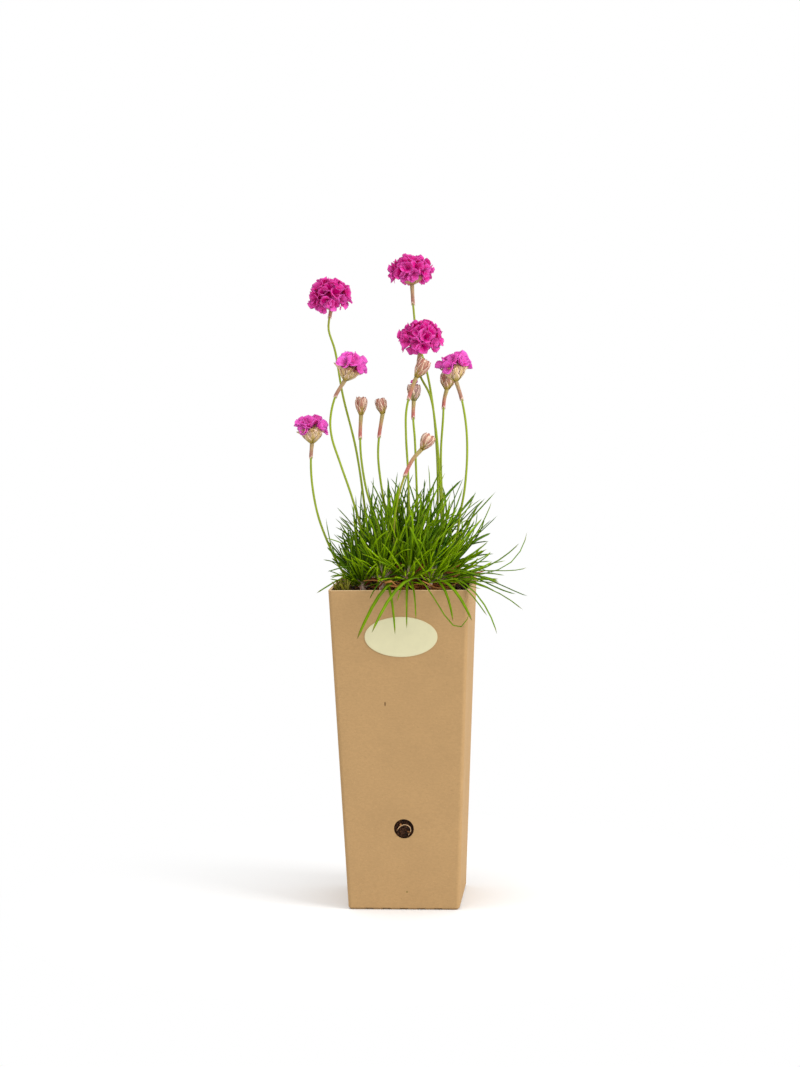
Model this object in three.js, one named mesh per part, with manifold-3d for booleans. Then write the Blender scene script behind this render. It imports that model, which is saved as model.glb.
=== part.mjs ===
// A sea thrift in flower in a tall square carton pot: folded board, an oval sticker, potting soil, leafy
// rosettes, and twelve flower stalks that carry three full heads, three half-open heads and six buds.
// Millimetres, +Z up. The origin is the middle of the pot's underside, and the pot's front faces -Y.
import * as THREE from "three";
import { mergeVertices } from "three/addons/utils/BufferGeometryUtils.js";
import Module from "manifold-3d";

const wasm = await Module();
wasm.setup();

// The pot is a blank of board folded into a square tube that narrows towards its foot.
const POT = {
  top: 86, base: 69, height: 200, board: 1.5, floor: 3,
  cornerRadius: 2.4, innerCornerRadius: 0.9, cornerSteps: 3, footRound: 1.3, openAbove: 5,
};
const CREASE_SLOT = { length: 4.8, pitch: 10.7, eachSide: 2, depth: 1.9, height: 1.1 };
const FLAP_SEAM = { width: 0.8, depth: 0.7, halfSlit: 17, slitY: 9, gap: 1.4, shortOfCorner: 3 };
const PEEP_HOLE = { x: 0.9, z: 51.3, radius: 6.2, sides: 24, drilled: 8 };
const STICKER = {
  x: 1.2, z: 171.3, halfWidth: 22.3, halfHeight: 12.4, thickness: 0.35, sides: 20, clearance: 0.08,
};
const CLEARANCE = 0.3;

// The soil is filled nearly to the rim and heaped a little towards the middle.
const SOIL = { edgeBelowRim: 5.5, heap: 4.5, crumb: 1.6, rings: 4, points: 24, cornerRadius: 2, seed: 11 };

// A rosette is a short woody crown that stands in the soil and carries narrow leaves.
const CROWN = {
  radius: 2.3, neck: 1.7, sides: 6, sunk: 5, above: 7, aboveInFront: 12, leafZone: 4, leanAtRim: 0.5,
};
// The point that the crowns lean away from. It lies left of the middle, so the cushion spreads to the right.
const LEAN_FROM = { x: -15, y: 5 };
const LEAF = {
  width: 1.85, thickness: 0.8, narrowing: 0.45, rings: 3, sampleStep: 2.2, rootSamples: 2, crowdedSamples: 8,
  longest: 82, shortest: 58, lengthDraw: 14, innerSpread: 0.06, outerSpread: 1.12, spreadDraw: 0.36,
  turnDraw: 1.6, lowestCurl: -0.62, highestCurl: 0.5, swayDraw: 0.5, ahead: 0.01, seed: 2026,
};
// The block of air that the leaves keep within, and the front corner where the soil lies bare.
const LEAF_ROOM = { left: -50, right: 82, front: -84, back: 76, top: 281 };
const BARE_CORNER = { right: -14, back: -30, below: 205 };
// The half dome that the cushion of drawn leaves fills. Tips end inside it, up to a ragged share short of it.
const CUSHION = { x: 9, y: 0, radius: 61, depth: 57, height: 74, ragged: 0.22, cutStep: 0.05 };
// The front rosettes send no drawn leaf straight at the front. Fronting is how nearly one may face it.
const FRONTING = 0.45;
// Leaves that reach out of the cushion: the rosette, the tip, and how far the leaf first rises over a straight line.
const REACHING_LEAVES = [
  { rosette: 1, tip: [-21.5, -63, 174], rise: 46 },
  { rosette: 2, tip: [-13.5, -75, 176], rise: 56 },
  { rosette: 0, tip: [0.5, -57, 175], rise: 41.5 },
  { rosette: 1, tip: [5.5, -56, 178], rise: 37 },
  { rosette: 1, tip: [13, -54, 184], rise: 31 },
  { rosette: 2, tip: [36, -57, 184], rise: 31 },
  { rosette: 2, tip: [45, -60, 186], rise: 30 },
  { rosette: 2, tip: [77, -30, 226], rise: -20 },
  { rosette: 2, tip: [78, -40, 188], rise: 25 },
];
const LEAVES_PER_ROSETTE = 12;
const DRAWS_PER_LEAF = 70;
const SPIRAL_OF_ROSETTES = { count: 15, radius: 33.5, startAngle: 4.1, apart: 9, offStalks: 4.8 };
const FRONT_ROSETTES = [[-11, -29], [3.5, -31], [16, -29.5]];
// How far the middle line of a leaf stays from other things.
const APART = { otherRosette: 2.65, sameRosette: 1.7, stalk: 2.9, crown: 3.9, board: 1.3, soil: 1.2 };

const STALK = { radius: 0.75, sides: 6, steps: 9 };
const SHEATH = { top: 1.25, bottom: 1.05 };
const CALYX = { columns: 12, ribs: 6, ribDepth: 0.09, sheathSteps: 2 };
const CUPS = {
  full: { width: 13.5, length: 5.5, tip: 0.8, hollow: 0.7, profile: [[0.25, 0.6], [0.6, 0.9], [1, 1]] },
  half: {
    width: 13.4, length: 9.2, tip: 1.0, hollow: 0.62, profile: [[0.15, 0.42], [0.45, 0.8], [0.75, 0.95], [1, 1]],
  },
  bud: { tip: 0.7, hollow: 0.85, profile: [[0.14, 0.52], [0.38, 0.86], [0.65, 1], [0.88, 0.92], [1, 0.76]] },
  opening: { tip: 0.9, hollow: 0.7, profile: [[0.14, 0.56], [0.38, 0.88], [0.65, 1], [0.85, 0.95], [1, 0.84]] },
};
// The domes of florets. Rise is where a dome's middle lies, in lengths of the cup under it.
const DOMES = {
  full: { dome: 13.2, reach: 2.0, florets: 18, petal: 4.4, squash: 0.74, rise: 1.45, core: 0.56 },
  half: { dome: 10.4, reach: 1.3, florets: 8, petal: 4.4, squash: 0.66, rise: 0.82, core: 0.5 },
  opening: { dome: 5.6, reach: 0.5, florets: 3, petal: 1.8, squash: 1, rise: 0.85, core: 0.6 },
};
// Askew is a direction that no floret faces. Each floret's rim is laid out square to it.
const FLORET = {
  rootDepth: 0.8, petals: 5, notch: 0.66, cup: 0.12, throat: 0.35, sink: 0.32, leastSink: 0.6, tilt: 0.55,
  askew: [0.31, 0.87, 0.38], seed: 401,
};

const GOLDEN_ANGLE = Math.PI * (3 - Math.sqrt(5));

// Each stalk's middle line runs from the soil to the foot of its head, and lean is the way the head faces.
const FLOWERS = [
  {
    name: "tall_left", kind: "full", sheath: 5, lean: [-0.06, -0.30, 1],
    line: [[-19, 12, 196], [-23.5, 12, 232], [-30, 12, 282], [-38, 12, 317], [-42.4, 12, 344.5],
      [-46.2, 12, 358], [-44.4, 12, 370]],
  },
  {
    name: "tall_mid", kind: "full", sheath: 12, lean: [-0.02, 0.05, 1],
    line: [[17, 22, 196], [19.5, 21, 237], [20.4, 20, 262], [18.5, 20, 303], [14.4, 20, 330],
      [8.4, 20, 352], [6.4, 20, 370], [5.7, 20, 384.5]],
  },
  {
    name: "full_mid", kind: "full", sheath: 9, lean: [0.05, -0.22, 1],
    line: [[25, 7, 196], [23.4, 6, 238], [22.4, 4, 273], [20.8, 2.8, 295], [17.6, 1.6, 316],
      [11.6, 0.8, 328.5], [10.6, 0.4, 336], [11.8, 0, 343]],
  },
  {
    name: "half_left", kind: "half", sheath: 12, lean: [0.42, -0.12, 1],
    line: [[-19, -8, 196], [-24, -7.5, 227], [-31, -8, 254], [-38.2, -8.5, 276], [-42.8, -9, 291],
      [-43.6, -9.3, 302], [-40.4, -9.7, 316], [-34, -10, 326.6]],
  },
  {
    name: "low_left", kind: "half", sheath: 9, lean: [0.0, -0.08, 1],
    line: [[-30, -3, 196], [-39.4, -4, 209.5], [-48.2, -4.7, 229], [-53.3, -5, 245], [-56.2, -5.5, 264],
      [-56.5, -5.8, 278], [-55.6, -6, 287.8]],
  },
  {
    name: "half_right", kind: "half", sheath: 12, lean: [-0.12, -0.12, 1],
    line: [[31, -1, 196], [34.8, -3, 238], [38.6, -4, 258], [40.5, -4.5, 280], [40, -5, 298],
      [37.6, -5.6, 313.5], [34.2, -6, 325.2]],
  },
  {
    name: "bud_left", kind: "bud", sheath: 15, lean: [0.02, 0, 1], width: 7.0, length: 10.4,
    line: [[-12, 2, 196], [-17.6, 1.2, 238], [-23.1, 1, 259], [-25.9, 0.5, 279], [-26.2, 0.3, 292],
      [-25.4, 0, 305]],
  },
  {
    name: "bud_mid", kind: "bud", sheath: 15, lean: [-0.16, 0, 1], width: 6.6, length: 9.2,
    line: [[-5, 9, 196], [-10.6, 7, 238], [-14.4, 5, 264], [-15.6, 4.5, 279], [-14.8, 4.3, 291],
      [-12.3, 4, 305.3]],
  },
  {
    name: "bud_tuft", kind: "bud", sheath: 15, lean: [0.62, 0, 1], width: 8.0, length: 11.4,
    line: [[5, -6, 196], [4.4, -7.5, 240], [4, -8.5, 271], [3.2, -9.7, 292], [3.6, -10.6, 307],
      [6.2, -11.4, 318], [10.4, -12, 328.4]],
  },
  {
    name: "bud_purple", kind: "opening", sheath: 11, lean: [0.04, 0, 1], width: 8.0, length: 9.6,
    line: [[9, 5, 196], [8.8, 2.5, 239], [8.3, 1, 270], [7.8, 0, 290], [7, -0.6, 303], [7.6, -1, 313.4]],
  },
  {
    name: "bud_right", kind: "bud", sheath: 12, lean: [0.10, 0, 1], width: 9.0, length: 10.4,
    line: [[26, 15, 196], [24.2, 12, 238], [23.2, 10.5, 266], [23.4, 9.4, 283], [24.9, 8.4, 301],
      [25.8, 7.8, 313], [27.6, 7.4, 319.8]],
  },
  {
    name: "bud_front", kind: "bud", sheath: 20, lean: [0.66, -0.1, 1], width: 8.0, length: 9.6,
    line: [[0, -22, 196], [-2.6, -24.5, 219], [-3.7, -24.5, 236], [-1.6, -24, 252], [2.8, -23.2, 267],
      [8, -22.4, 277.8], [14, -22, 284.6]],
  },
];

// A repeatable draw of numbers from 0 to 1: the minimal standard generator.
function seededDraw(seed) {
  const MULTIPLIER = 16807;
  const MODULUS = 2147483647;
  let state = seed;
  return () => {
    state = (state * MULTIPLIER) % MODULUS;
    return state / MODULUS;
  };
}

const vector = (x, y, z) => new THREE.Vector3(x, y, z);
const mix = (a, b, t) => a + (b - a) * t;

// A closed solid from an array of vectors and an array of triangles, turned to face outwards.
function solidFrom(points, triangles) {
  let volume = 0;
  for (const [a, b, c] of triangles)
    volume += points[a].dot(vector(0, 0, 0).crossVectors(points[b], points[c]));
  const facing = volume < 0 ? triangles.map(([a, b, c]) => [a, c, b]) : triangles;
  const mesh = new wasm.Mesh({
    numProp: 3,
    vertProperties: new Float32Array(points.flatMap((p) => [p.x, p.y, p.z])),
    triVerts: new Uint32Array(facing.flat()),
  });
  return new wasm.Manifold(mesh);
}

// A skin over a row of rings. The first and last rings hold one point each, which closes the ends.
function loft(rings) {
  const points = rings.flat();
  const triangles = [];
  let start = 0;
  for (let r = 0; r + 1 < rings.length; r++) {
    const below = rings[r].length;
    const above = rings[r + 1].length;
    const next = start + below;
    for (let i = 0; i < Math.max(below, above); i++) {
      const j = (i + 1) % Math.max(below, above);
      if (below > 1) triangles.push([start + i, start + j, above > 1 ? next + j : next]);
      if (above > 1) triangles.push([below > 1 ? start + i : start, next + j, next + i]);
    }
    start = next;
  }
  return solidFrom(points, triangles);
}

// A three.js geometry as a solid.
function solidOf(geometry) {
  const bare = geometry.clone();
  bare.deleteAttribute("normal");
  bare.deleteAttribute("uv");
  const merged = mergeVertices(bare, 1e-4);
  const place = merged.getAttribute("position");
  const points = [];
  for (let i = 0; i < place.count; i++) points.push(vector(place.getX(i), place.getY(i), place.getZ(i)));
  const triangles = [];
  for (let i = 0; i < merged.index.count; i += 3)
    triangles.push([merged.index.getX(i), merged.index.getX(i + 1), merged.index.getX(i + 2)]);
  return solidFrom(points, triangles);
}

function geometryOf(solid) {
  const mesh = solid.getMesh();
  return new THREE.BufferGeometry()
    .setAttribute("position", new THREE.BufferAttribute(Float32Array.from(mesh.vertProperties), 3))
    .setIndex(new THREE.BufferAttribute(Uint32Array.from(mesh.triVerts), 1));
}

// The largest body of a solid, so that a scrap cut loose is dropped.
function largestBody(solid) {
  return solid.decompose().reduce((best, body) => (body.volume() > best.volume() ? body : best));
}

const joined = (solids) => wasm.Manifold.union(solids);

const potWidth = (z) => mix(POT.base, POT.top, z / POT.height);

// A ring of points of a rounded square at height z: the pot's own width there, less an inset all round.
function squareRing(z, inset) {
  const half = potWidth(z) / 2 - inset;
  const radius = Math.max(POT.cornerRadius - inset, POT.innerCornerRadius);
  const flat = half - radius;
  const outline = new THREE.Shape();
  for (let corner = 0; corner < 4; corner++) {
    const angle = (corner * Math.PI) / 2;
    const x = flat * Math.SQRT2 * Math.cos(angle + Math.PI / 4);
    const y = flat * Math.SQRT2 * Math.sin(angle + Math.PI / 4);
    outline.absarc(x, y, radius, angle, angle + Math.PI / 2);
  }
  return outline.getPoints(POT.cornerSteps).map((p) => vector(p.x, p.y, z));
}

// A box on one of the pot's four sides: laid out for the front and turned by quarter turns about Z.
function turnedBox(size, centre, quarterTurns) {
  const box = new THREE.BoxGeometry(...size).translate(...centre);
  return solidOf(box.rotateZ((quarterTurns * Math.PI) / 2));
}

// A groove in the underside between two points of the floor, where two folded flaps meet.
function flapSeam([fromX, fromY], [toX, toY]) {
  const length = Math.hypot(toX - fromX, toY - fromY);
  const groove = new THREE.BoxGeometry(length, FLAP_SEAM.width, 2 * FLAP_SEAM.depth)
    .rotateZ(Math.atan2(toY - fromY, toX - fromX))
    .translate((fromX + toX) / 2, (fromY + toY) / 2, 0);
  return solidOf(groove);
}

// The folded board: four leaning walls, a floor of tucked flaps, slots along the lower creases, a round hole.
function cartonPot() {
  const shell = loft([
    [vector(0, 0, 0)],
    squareRing(0, POT.footRound),
    squareRing(POT.footRound, 0),
    squareRing(POT.height, 0),
    [vector(0, 0, POT.height)],
  ]);
  const mouth = POT.height + POT.openAbove;
  const cavity = loft([
    [vector(0, 0, POT.floor)],
    squareRing(POT.floor, POT.board),
    squareRing(mouth, POT.board),
    [vector(0, 0, mouth)],
  ]);
  const wallY = -potWidth(PEEP_HOLE.z) / 2;
  const hole = new THREE.CylinderGeometry(PEEP_HOLE.radius, PEEP_HOLE.radius, PEEP_HOLE.drilled, PEEP_HOLE.sides)
    .translate(PEEP_HOLE.x, wallY, PEEP_HOLE.z);
  const cuts = [cavity, solidOf(hole)];
  const { length, pitch, eachSide, depth, height } = CREASE_SLOT;
  for (let side = 0; side < 4; side++)
    for (let i = -eachSide; i <= eachSide; i++)
      cuts.push(turnedBox([length, 2 * depth, 2 * height], [i * pitch, -POT.base / 2, 0], side));
  const corner = POT.base / 2 - FLAP_SEAM.shortOfCorner;
  const { halfSlit, slitY, gap } = FLAP_SEAM;
  cuts.push(flapSeam([gap - halfSlit, slitY], [halfSlit - gap, slitY]));
  for (const side of [-1, 1])
    for (const end of [-1, 1])
      cuts.push(flapSeam([side * halfSlit, slitY], [side * corner, end * corner]));
  return shell.subtract(joined(cuts));
}

// The blank oval sticker, laid against the leaning front wall.
function sticker() {
  const outline = new THREE.Shape().absellipse(0, 0, STICKER.halfWidth, STICKER.halfHeight, 0, 2 * Math.PI);
  const lean = Math.atan2((POT.top - POT.base) / 2, POT.height);
  const front = potWidth(STICKER.z) / 2 + STICKER.clearance;
  const disc = new THREE.ExtrudeGeometry(outline, {
    depth: STICKER.thickness,
    bevelEnabled: false,
    curveSegments: STICKER.sides,
  });
  disc.rotateX(Math.PI / 2 + lean).translate(STICKER.x, -front, STICKER.z);
  return solidOf(disc);
}

// How high the soil lies: a low heap that falls away towards the walls.
function soilHeight(x, y) {
  const away = Math.min(1, Math.hypot(x, y) / (POT.top / 2));
  return POT.height - SOIL.edgeBelowRim + SOIL.heap * (1 - away * away);
}

// The block of soil: the pot's inner shape less a clearance, under a crumbly heap.
function soilBlock() {
  const draw = seededDraw(SOIL.seed);
  const inset = POT.board + CLEARANCE;
  const ring = (z, share, crumb) =>
    Array.from({ length: SOIL.points }, (_, i) => {
      const angle = (2 * Math.PI * i) / SOIL.points;
      const half = potWidth(z) / 2 - inset;
      const straight = half / Math.max(Math.abs(Math.cos(angle)), Math.abs(Math.sin(angle)));
      const rounded = (half - SOIL.cornerRadius) * Math.SQRT2 + SOIL.cornerRadius;
      const reach = share * Math.min(straight, rounded);
      const [x, y] = [reach * Math.cos(angle), reach * Math.sin(angle)];
      return vector(x, y, crumb ? soilHeight(x, y) + crumb * (draw() - 0.5) : z);
    });
  const bottom = POT.floor + CLEARANCE;
  const edge = POT.height - SOIL.edgeBelowRim;
  const rings = [[vector(0, 0, bottom)], ring(bottom, 1, 0), ring(edge, 1, 0)];
  for (let i = SOIL.rings; i > 0; i--) rings.push(ring(edge, i / (SOIL.rings + 1), SOIL.crumb));
  rings.push([vector(0, 0, soilHeight(0, 0))]);
  return loft(rings);
}

// Where the rosettes stand: three along the front, and the rest on a sunflower spiral between the stalks.
function rosetteSpots() {
  const spots = FRONT_ROSETTES.map(([x, y]) => ({ x, y }));
  const { count, radius, startAngle, apart, offStalks } = SPIRAL_OF_ROSETTES;
  const farFrom = (spot, x, y, distance) => Math.hypot(x - spot.x, y - spot.y) > distance;
  for (let i = 0; i < count; i++) {
    const angle = startAngle + i * GOLDEN_ANGLE;
    const reach = radius * Math.sqrt((i + 0.5) / count);
    const spot = { x: reach * Math.cos(angle), y: reach * Math.sin(angle) };
    const offOthers = spots.every((other) => farFrom(spot, other.x, other.y, apart));
    if (offOthers && FLOWERS.every(({ line: [[x, y]] }) => farFrom(spot, x, y, offStalks))) spots.push(spot);
  }
  return spots;
}

// A rosette's woody crown: it stands in the soil and leans outwards, the more the further out it grows.
function crownOf(spot, index) {
  const lean = CROWN.leanAtRim / (POT.top / 2);
  const axis = vector(lean * (spot.x - LEAN_FROM.x), lean * (spot.y - LEAN_FROM.y), 1).normalize();
  const ground = vector(spot.x, spot.y, soilHeight(spot.x, spot.y));
  const foot = ground.clone().addScaledVector(axis, -CROWN.sunk);
  const above = index < FRONT_ROSETTES.length ? CROWN.aboveInFront : CROWN.above;
  return { axis, foot, top: ground.clone().addScaledVector(axis, above), inFront: index < FRONT_ROSETTES.length };
}

// A tapered round peg from one point to another.
function peg(from, to, footRadius, topRadius, sides) {
  const along = to.clone().sub(from);
  const cylinder = new THREE.CylinderGeometry(topRadius, footRadius, along.length(), sides)
    .applyQuaternion(new THREE.Quaternion().setFromUnitVectors(vector(0, 1, 0), along.clone().normalize()));
  const middle = from.clone().add(to).multiplyScalar(0.5);
  return solidOf(cylinder.translate(middle.x, middle.y, middle.z));
}

// A leaf's middle line: it leaves the crown along its own direction and curls by the square of the way.
function leafPoint(leaf, t) {
  return leaf.root.clone()
    .addScaledVector(leaf.direction, leaf.length * t)
    .addScaledVector(vector(0, 0, 1), leaf.length * leaf.curl * t * t)
    .addScaledVector(leaf.side, leaf.length * leaf.sway * t * t);
}

function leafSamples(leaf) {
  const count = Math.round(leaf.length / LEAF.sampleStep);
  return Array.from({ length: count + 1 }, (_, i) => leafPoint(leaf, i / count));
}

// One draw of a leaf: the first of a rosette stand nearly along its axis, the last spread wide.
function drawnLeaf(crown, order, draw) {
  const share = (order + 0.5) / LEAVES_PER_ROSETTE;
  const spread = mix(LEAF.innerSpread, LEAF.outerSpread, Math.sqrt(share)) + LEAF.spreadDraw * (draw() - 0.5);
  const turn = order * GOLDEN_ANGLE + LEAF.turnDraw * (draw() - 0.5);
  const across = vector(0, 1, 0).cross(crown.axis).normalize();
  const beside = crown.axis.clone().cross(across);
  let outward = across.multiplyScalar(Math.cos(turn)).addScaledVector(beside, Math.sin(turn));
  if (crown.inFront && outward.y < -FRONTING) outward = vector(outward.x, -outward.y, outward.z).normalize();
  const along = crown.axis.clone().multiplyScalar(Math.cos(spread));
  const direction = along.addScaledVector(outward, Math.sin(spread));
  const leaf = {
    root: crown.top.clone().addScaledVector(crown.axis, -CROWN.leafZone * share),
    direction,
    side: crown.axis.clone().cross(outward).normalize(),
    length: mix(LEAF.longest, LEAF.shortest, share) + LEAF.lengthDraw * (draw() - 0.5),
    curl: mix(LEAF.lowestCurl, LEAF.highestCurl, draw()) * Math.sin(spread),
    sway: LEAF.swayDraw * (draw() - 0.5),
  };
  return trimmedLeaf(leaf, draw());
}

// A leaf cut back until its tip lies in the cushion, and then by a ragged share more.
function trimmedLeaf(leaf, ragged) {
  let keep = 1;
  while (keep > CUSHION.cutStep && !inCushion(leafPoint(leaf, keep))) keep -= CUSHION.cutStep;
  keep *= 1 - CUSHION.ragged * ragged;
  return { ...leaf, length: leaf.length * keep, curl: leaf.curl * keep, sway: leaf.sway * keep };
}

function inCushion({ x, y, z }) {
  const right = (x - CUSHION.x) / CUSHION.radius;
  const back = (y - CUSHION.y) / CUSHION.depth;
  const up = Math.max(0, z - POT.height) / CUSHION.height;
  return right * right + back * back + up * up < 1;
}

// A leaf from the top of its crown to a given tip, along a parabola that first rises and then falls by the same.
function reachingLeaf(crown, { rosette, tip, rise }) {
  const root = crown.top.clone().addScaledVector(crown.axis, -CROWN.leafZone / 2);
  const way = vector(...tip).sub(root).add(vector(0, 0, rise));
  const length = way.length();
  const side = vector(0, 0, 1).cross(way).normalize();
  return { root, direction: way.divideScalar(length), side, length, curl: -rise / length, sway: 0, rosette };
}

const nearer = (points, point, distance) =>
  points.some((other) => other.distanceToSquared(point) < distance * distance);

// Whether a leaf keeps in its room and off the board, soil, stalks, other crowns and leaves already there.
function leafIsClear(samples, rosette, grown, stalkSamples, crowns) {
  const { left, right, front, back, top } = LEAF_ROOM;
  return samples.every((p, i) => {
    if (p.x < left || p.x > right || p.y < front || p.y > back || p.z > top) return false;
    const wall = potWidth(Math.min(p.z, POT.height)) / 2;
    const out = Math.max(Math.abs(p.x), Math.abs(p.y));
    const inside = out < wall - POT.board - APART.board;
    if (p.z < POT.height + APART.board && !inside && out < wall + APART.board) return false;
    if (inside && i > LEAF.rootSamples && p.z < soilHeight(p.x, p.y) + APART.soil) return false;
    if (p.x < BARE_CORNER.right && p.y < BARE_CORNER.back && p.z < BARE_CORNER.below) return false;
    if (nearer(stalkSamples, p, APART.stalk)) return false;
    if (crowns.some((c, k) => k !== rosette && nearer(c.samples, p, APART.crown))) return false;
    return grown.every((other) => {
      if (other.rosette !== rosette) return !nearer(other.samples, p, APART.otherRosette);
      return i <= LEAF.crowdedSamples || !nearer(other.samples, p, APART.sameRosette);
    });
  });
}

// All the leaves of all the rosettes, drawn in turn so that no rosette takes the room of the others.
function growLeaves(crowns, stalkSamples) {
  const draw = seededDraw(LEAF.seed);
  const grown = REACHING_LEAVES.map((reach) => reachingLeaf(crowns[reach.rosette], reach))
    .map((leaf) => ({ ...leaf, samples: leafSamples(leaf) }));
  for (let order = 0; order < LEAVES_PER_ROSETTE; order++)
    crowns.forEach((crown, rosette) => {
      for (let attempt = 0; attempt < DRAWS_PER_LEAF; attempt++) {
        const leaf = drawnLeaf(crown, order, draw);
        const samples = leafSamples(leaf);
        if (!leafIsClear(samples, rosette, grown, stalkSamples, crowns)) continue;
        grown.push({ ...leaf, rosette, samples });
        return;
      }
    });
  return grown;
}

// A leaf as a narrow blade of three-sided section, flat above and keeled below, drawn out to a point.
function leafBlade(leaf) {
  const rings = [[leafPoint(leaf, 0)]];
  for (let r = 0; r < LEAF.rings; r++) {
    const t = r / LEAF.rings;
    const middle = leafPoint(leaf, t);
    const along = leafPoint(leaf, t + LEAF.ahead).sub(middle).normalize();
    const keel = leaf.side.clone().cross(along).normalize();
    const halfWidth = (LEAF.width / 2) * (1 - LEAF.narrowing * t ** 3);
    rings.push([
      middle.clone().addScaledVector(leaf.side, halfWidth),
      middle.clone().addScaledVector(keel, LEAF.thickness),
      middle.clone().addScaledVector(leaf.side, -halfWidth),
    ]);
  }
  rings.push([leafPoint(leaf, 1)]);
  return loft(rings);
}

function rosetteSolid(crown, leaves) {
  const stump = peg(crown.foot, crown.top, CROWN.radius, CROWN.neck, CROWN.sides);
  return largestBody(joined([stump, ...leaves.map(leafBlade)]));
}

function middleLine(flower) {
  return new THREE.CatmullRomCurve3(flower.line.map((p) => vector(...p)), false, "centripetal");
}

// The stretch of a curve between two shares of its length, as a curve of its own.
function stretchOf(curve, from, to, steps) {
  const points = Array.from({ length: steps + 1 }, (_, i) => curve.getPointAt(mix(from, to, i / steps)));
  return new THREE.CatmullRomCurve3(points, false, "centripetal");
}

// The bare green stalk, from its hole in the soil up to the papery sheath.
function stalkSolid(flower, radius = STALK.radius) {
  const curve = middleLine(flower);
  const end = 1 - (flower.sheath + CLEARANCE) / curve.getLength();
  const section = new THREE.Shape().absarc(0, 0, radius, 0, 2 * Math.PI);
  return solidOf(new THREE.ExtrudeGeometry(section, {
    steps: STALK.steps,
    curveSegments: STALK.sides / 2,
    extrudePath: stretchOf(curve, 0, end, STALK.steps),
    bevelEnabled: false,
  }));
}

// A ring round a point of a line that runs along a direction. Ribs stand out and valleys lie in, turn about.
function ribbedRing(centre, along, radius, ribDepth, lift) {
  const across = vector(0, 1, 0).cross(along).normalize();
  const beside = along.clone().cross(across).normalize();
  return Array.from({ length: CALYX.columns }, (_, i) => {
    const angle = (2 * Math.PI * i) / CALYX.columns;
    const rib = Math.cos(CALYX.ribs * angle);
    const reach = radius * (1 + ribDepth * rib);
    return centre.clone()
      .addScaledVector(across, reach * Math.cos(angle))
      .addScaledVector(beside, reach * Math.sin(angle))
      .addScaledVector(along, lift * rib);
  });
}

// The papery part in one: the sheath round the stalk's top, and the cup of pointed bracts that it opens into.
function calyxSolid(flower, grow = 0) {
  const curve = middleLine(flower);
  const start = 1 - flower.sheath / curve.getLength();
  const rings = [];
  for (let i = 0; i <= CALYX.sheathSteps; i++) {
    const share = i / CALYX.sheathSteps;
    const u = mix(start, 1, share);
    const radius = mix(SHEATH.bottom, SHEATH.top, share) + grow;
    rings.push(ribbedRing(curve.getPointAt(u), curve.getTangentAt(u), radius, 0, 0));
  }
  const foot = curve.getPointAt(1);
  const along = vector(...flower.lean).normalize();
  const { width, length, profile, tip, hollow } = cupOf(flower);
  for (const [height, share] of profile) {
    const centre = foot.clone().addScaledVector(along, height * length + mix(-grow, grow, height));
    rings.push(ribbedRing(centre, along, (share * width) / 2 + grow, CALYX.ribDepth, height === 1 ? tip : 0));
  }
  const bottom = curve.getPointAt(start).addScaledVector(curve.getTangentAt(start), -grow);
  const bowl = foot.clone().addScaledVector(along, hollow * length + grow);
  return loft([[bottom], ...rings, [bowl]]);
}

// The size of a flower's cup, and its outline: pairs of the share of its length and the share of its width.
function cupOf(flower) {
  const size = CUPS[flower.kind];
  return { ...size, width: flower.width ?? size.width, length: flower.length ?? size.length };
}

// One floret: a funnel from a foot in the head's core to a throat, round which five petals spread.
function floretSolid(foot, face, outward, petal, turn) {
  const across = vector(...FLORET.askew).cross(outward).normalize();
  const beside = outward.clone().cross(across);
  const rim = [];
  for (let i = 0; i < 2 * FLORET.petals; i++) {
    const [reach, lift] = i % 2 === 1 ? [FLORET.notch, -FLORET.cup] : [1, 0];
    const angle = turn + (i * Math.PI) / FLORET.petals;
    rim.push(face.clone()
      .addScaledVector(across, petal * reach * Math.cos(angle))
      .addScaledVector(beside, petal * reach * Math.sin(angle))
      .addScaledVector(outward, petal * lift));
  }
  const throat = face.clone().addScaledVector(outward, -FLORET.throat * petal);
  return loft([[foot], rim, [throat]]);
}

// The coloured part of a head: florets on a sunflower spiral over a flattened dome, rooted in its core.
function petalsSolid(flower) {
  const { dome, reach, florets, petal, squash, rise, core } = DOMES[flower.kind];
  const draw = seededDraw(FLORET.seed + flower.name.length);
  const along = vector(...flower.lean).normalize();
  const turned = new THREE.Quaternion().setFromUnitVectors(vector(0, 0, 1), along);
  const centre = vector(...flower.line[flower.line.length - 1])
    .addScaledVector(along, rise * cupOf(flower).length);
  const flattened = vector(1, 1, squash);
  const onDome = (direction, radius) =>
    direction.clone().multiply(flattened).multiplyScalar(radius).applyQuaternion(turned).add(centre);
  const ball = new THREE.IcosahedronGeometry(core * dome, 0).applyQuaternion(turned);
  const parts = [solidOf(ball.translate(centre.x, centre.y, centre.z))];
  for (let i = 0; i < florets; i++) {
    const height = 1 - (1 - Math.cos(reach)) * ((i + 0.5) / florets);
    const round = Math.sqrt(1 - height * height);
    const angle = i * GOLDEN_ANGLE;
    const direction = vector(round * Math.cos(angle), round * Math.sin(angle), height);
    const depth = dome - petal * FLORET.sink * (FLORET.leastSink + draw());
    const tilt = vector(draw() - 0.5, draw() - 0.5, draw() - 0.5).multiplyScalar(FLORET.tilt);
    const outward = direction.clone().applyQuaternion(turned).add(tilt).normalize();
    const foot = onDome(direction, core * dome * FLORET.rootDepth);
    parts.push(floretSolid(foot, onDome(direction, depth), outward, petal, 2 * Math.PI * draw()));
  }
  return largestBody(joined(parts).subtract(calyxSolid(flower, CLEARANCE)));
}

const part = new THREE.Group();

function addNode(name, solid, material) {
  const mesh = new THREE.Mesh(geometryOf(solid), material);
  mesh.name = name;
  part.add(mesh);
}

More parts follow.
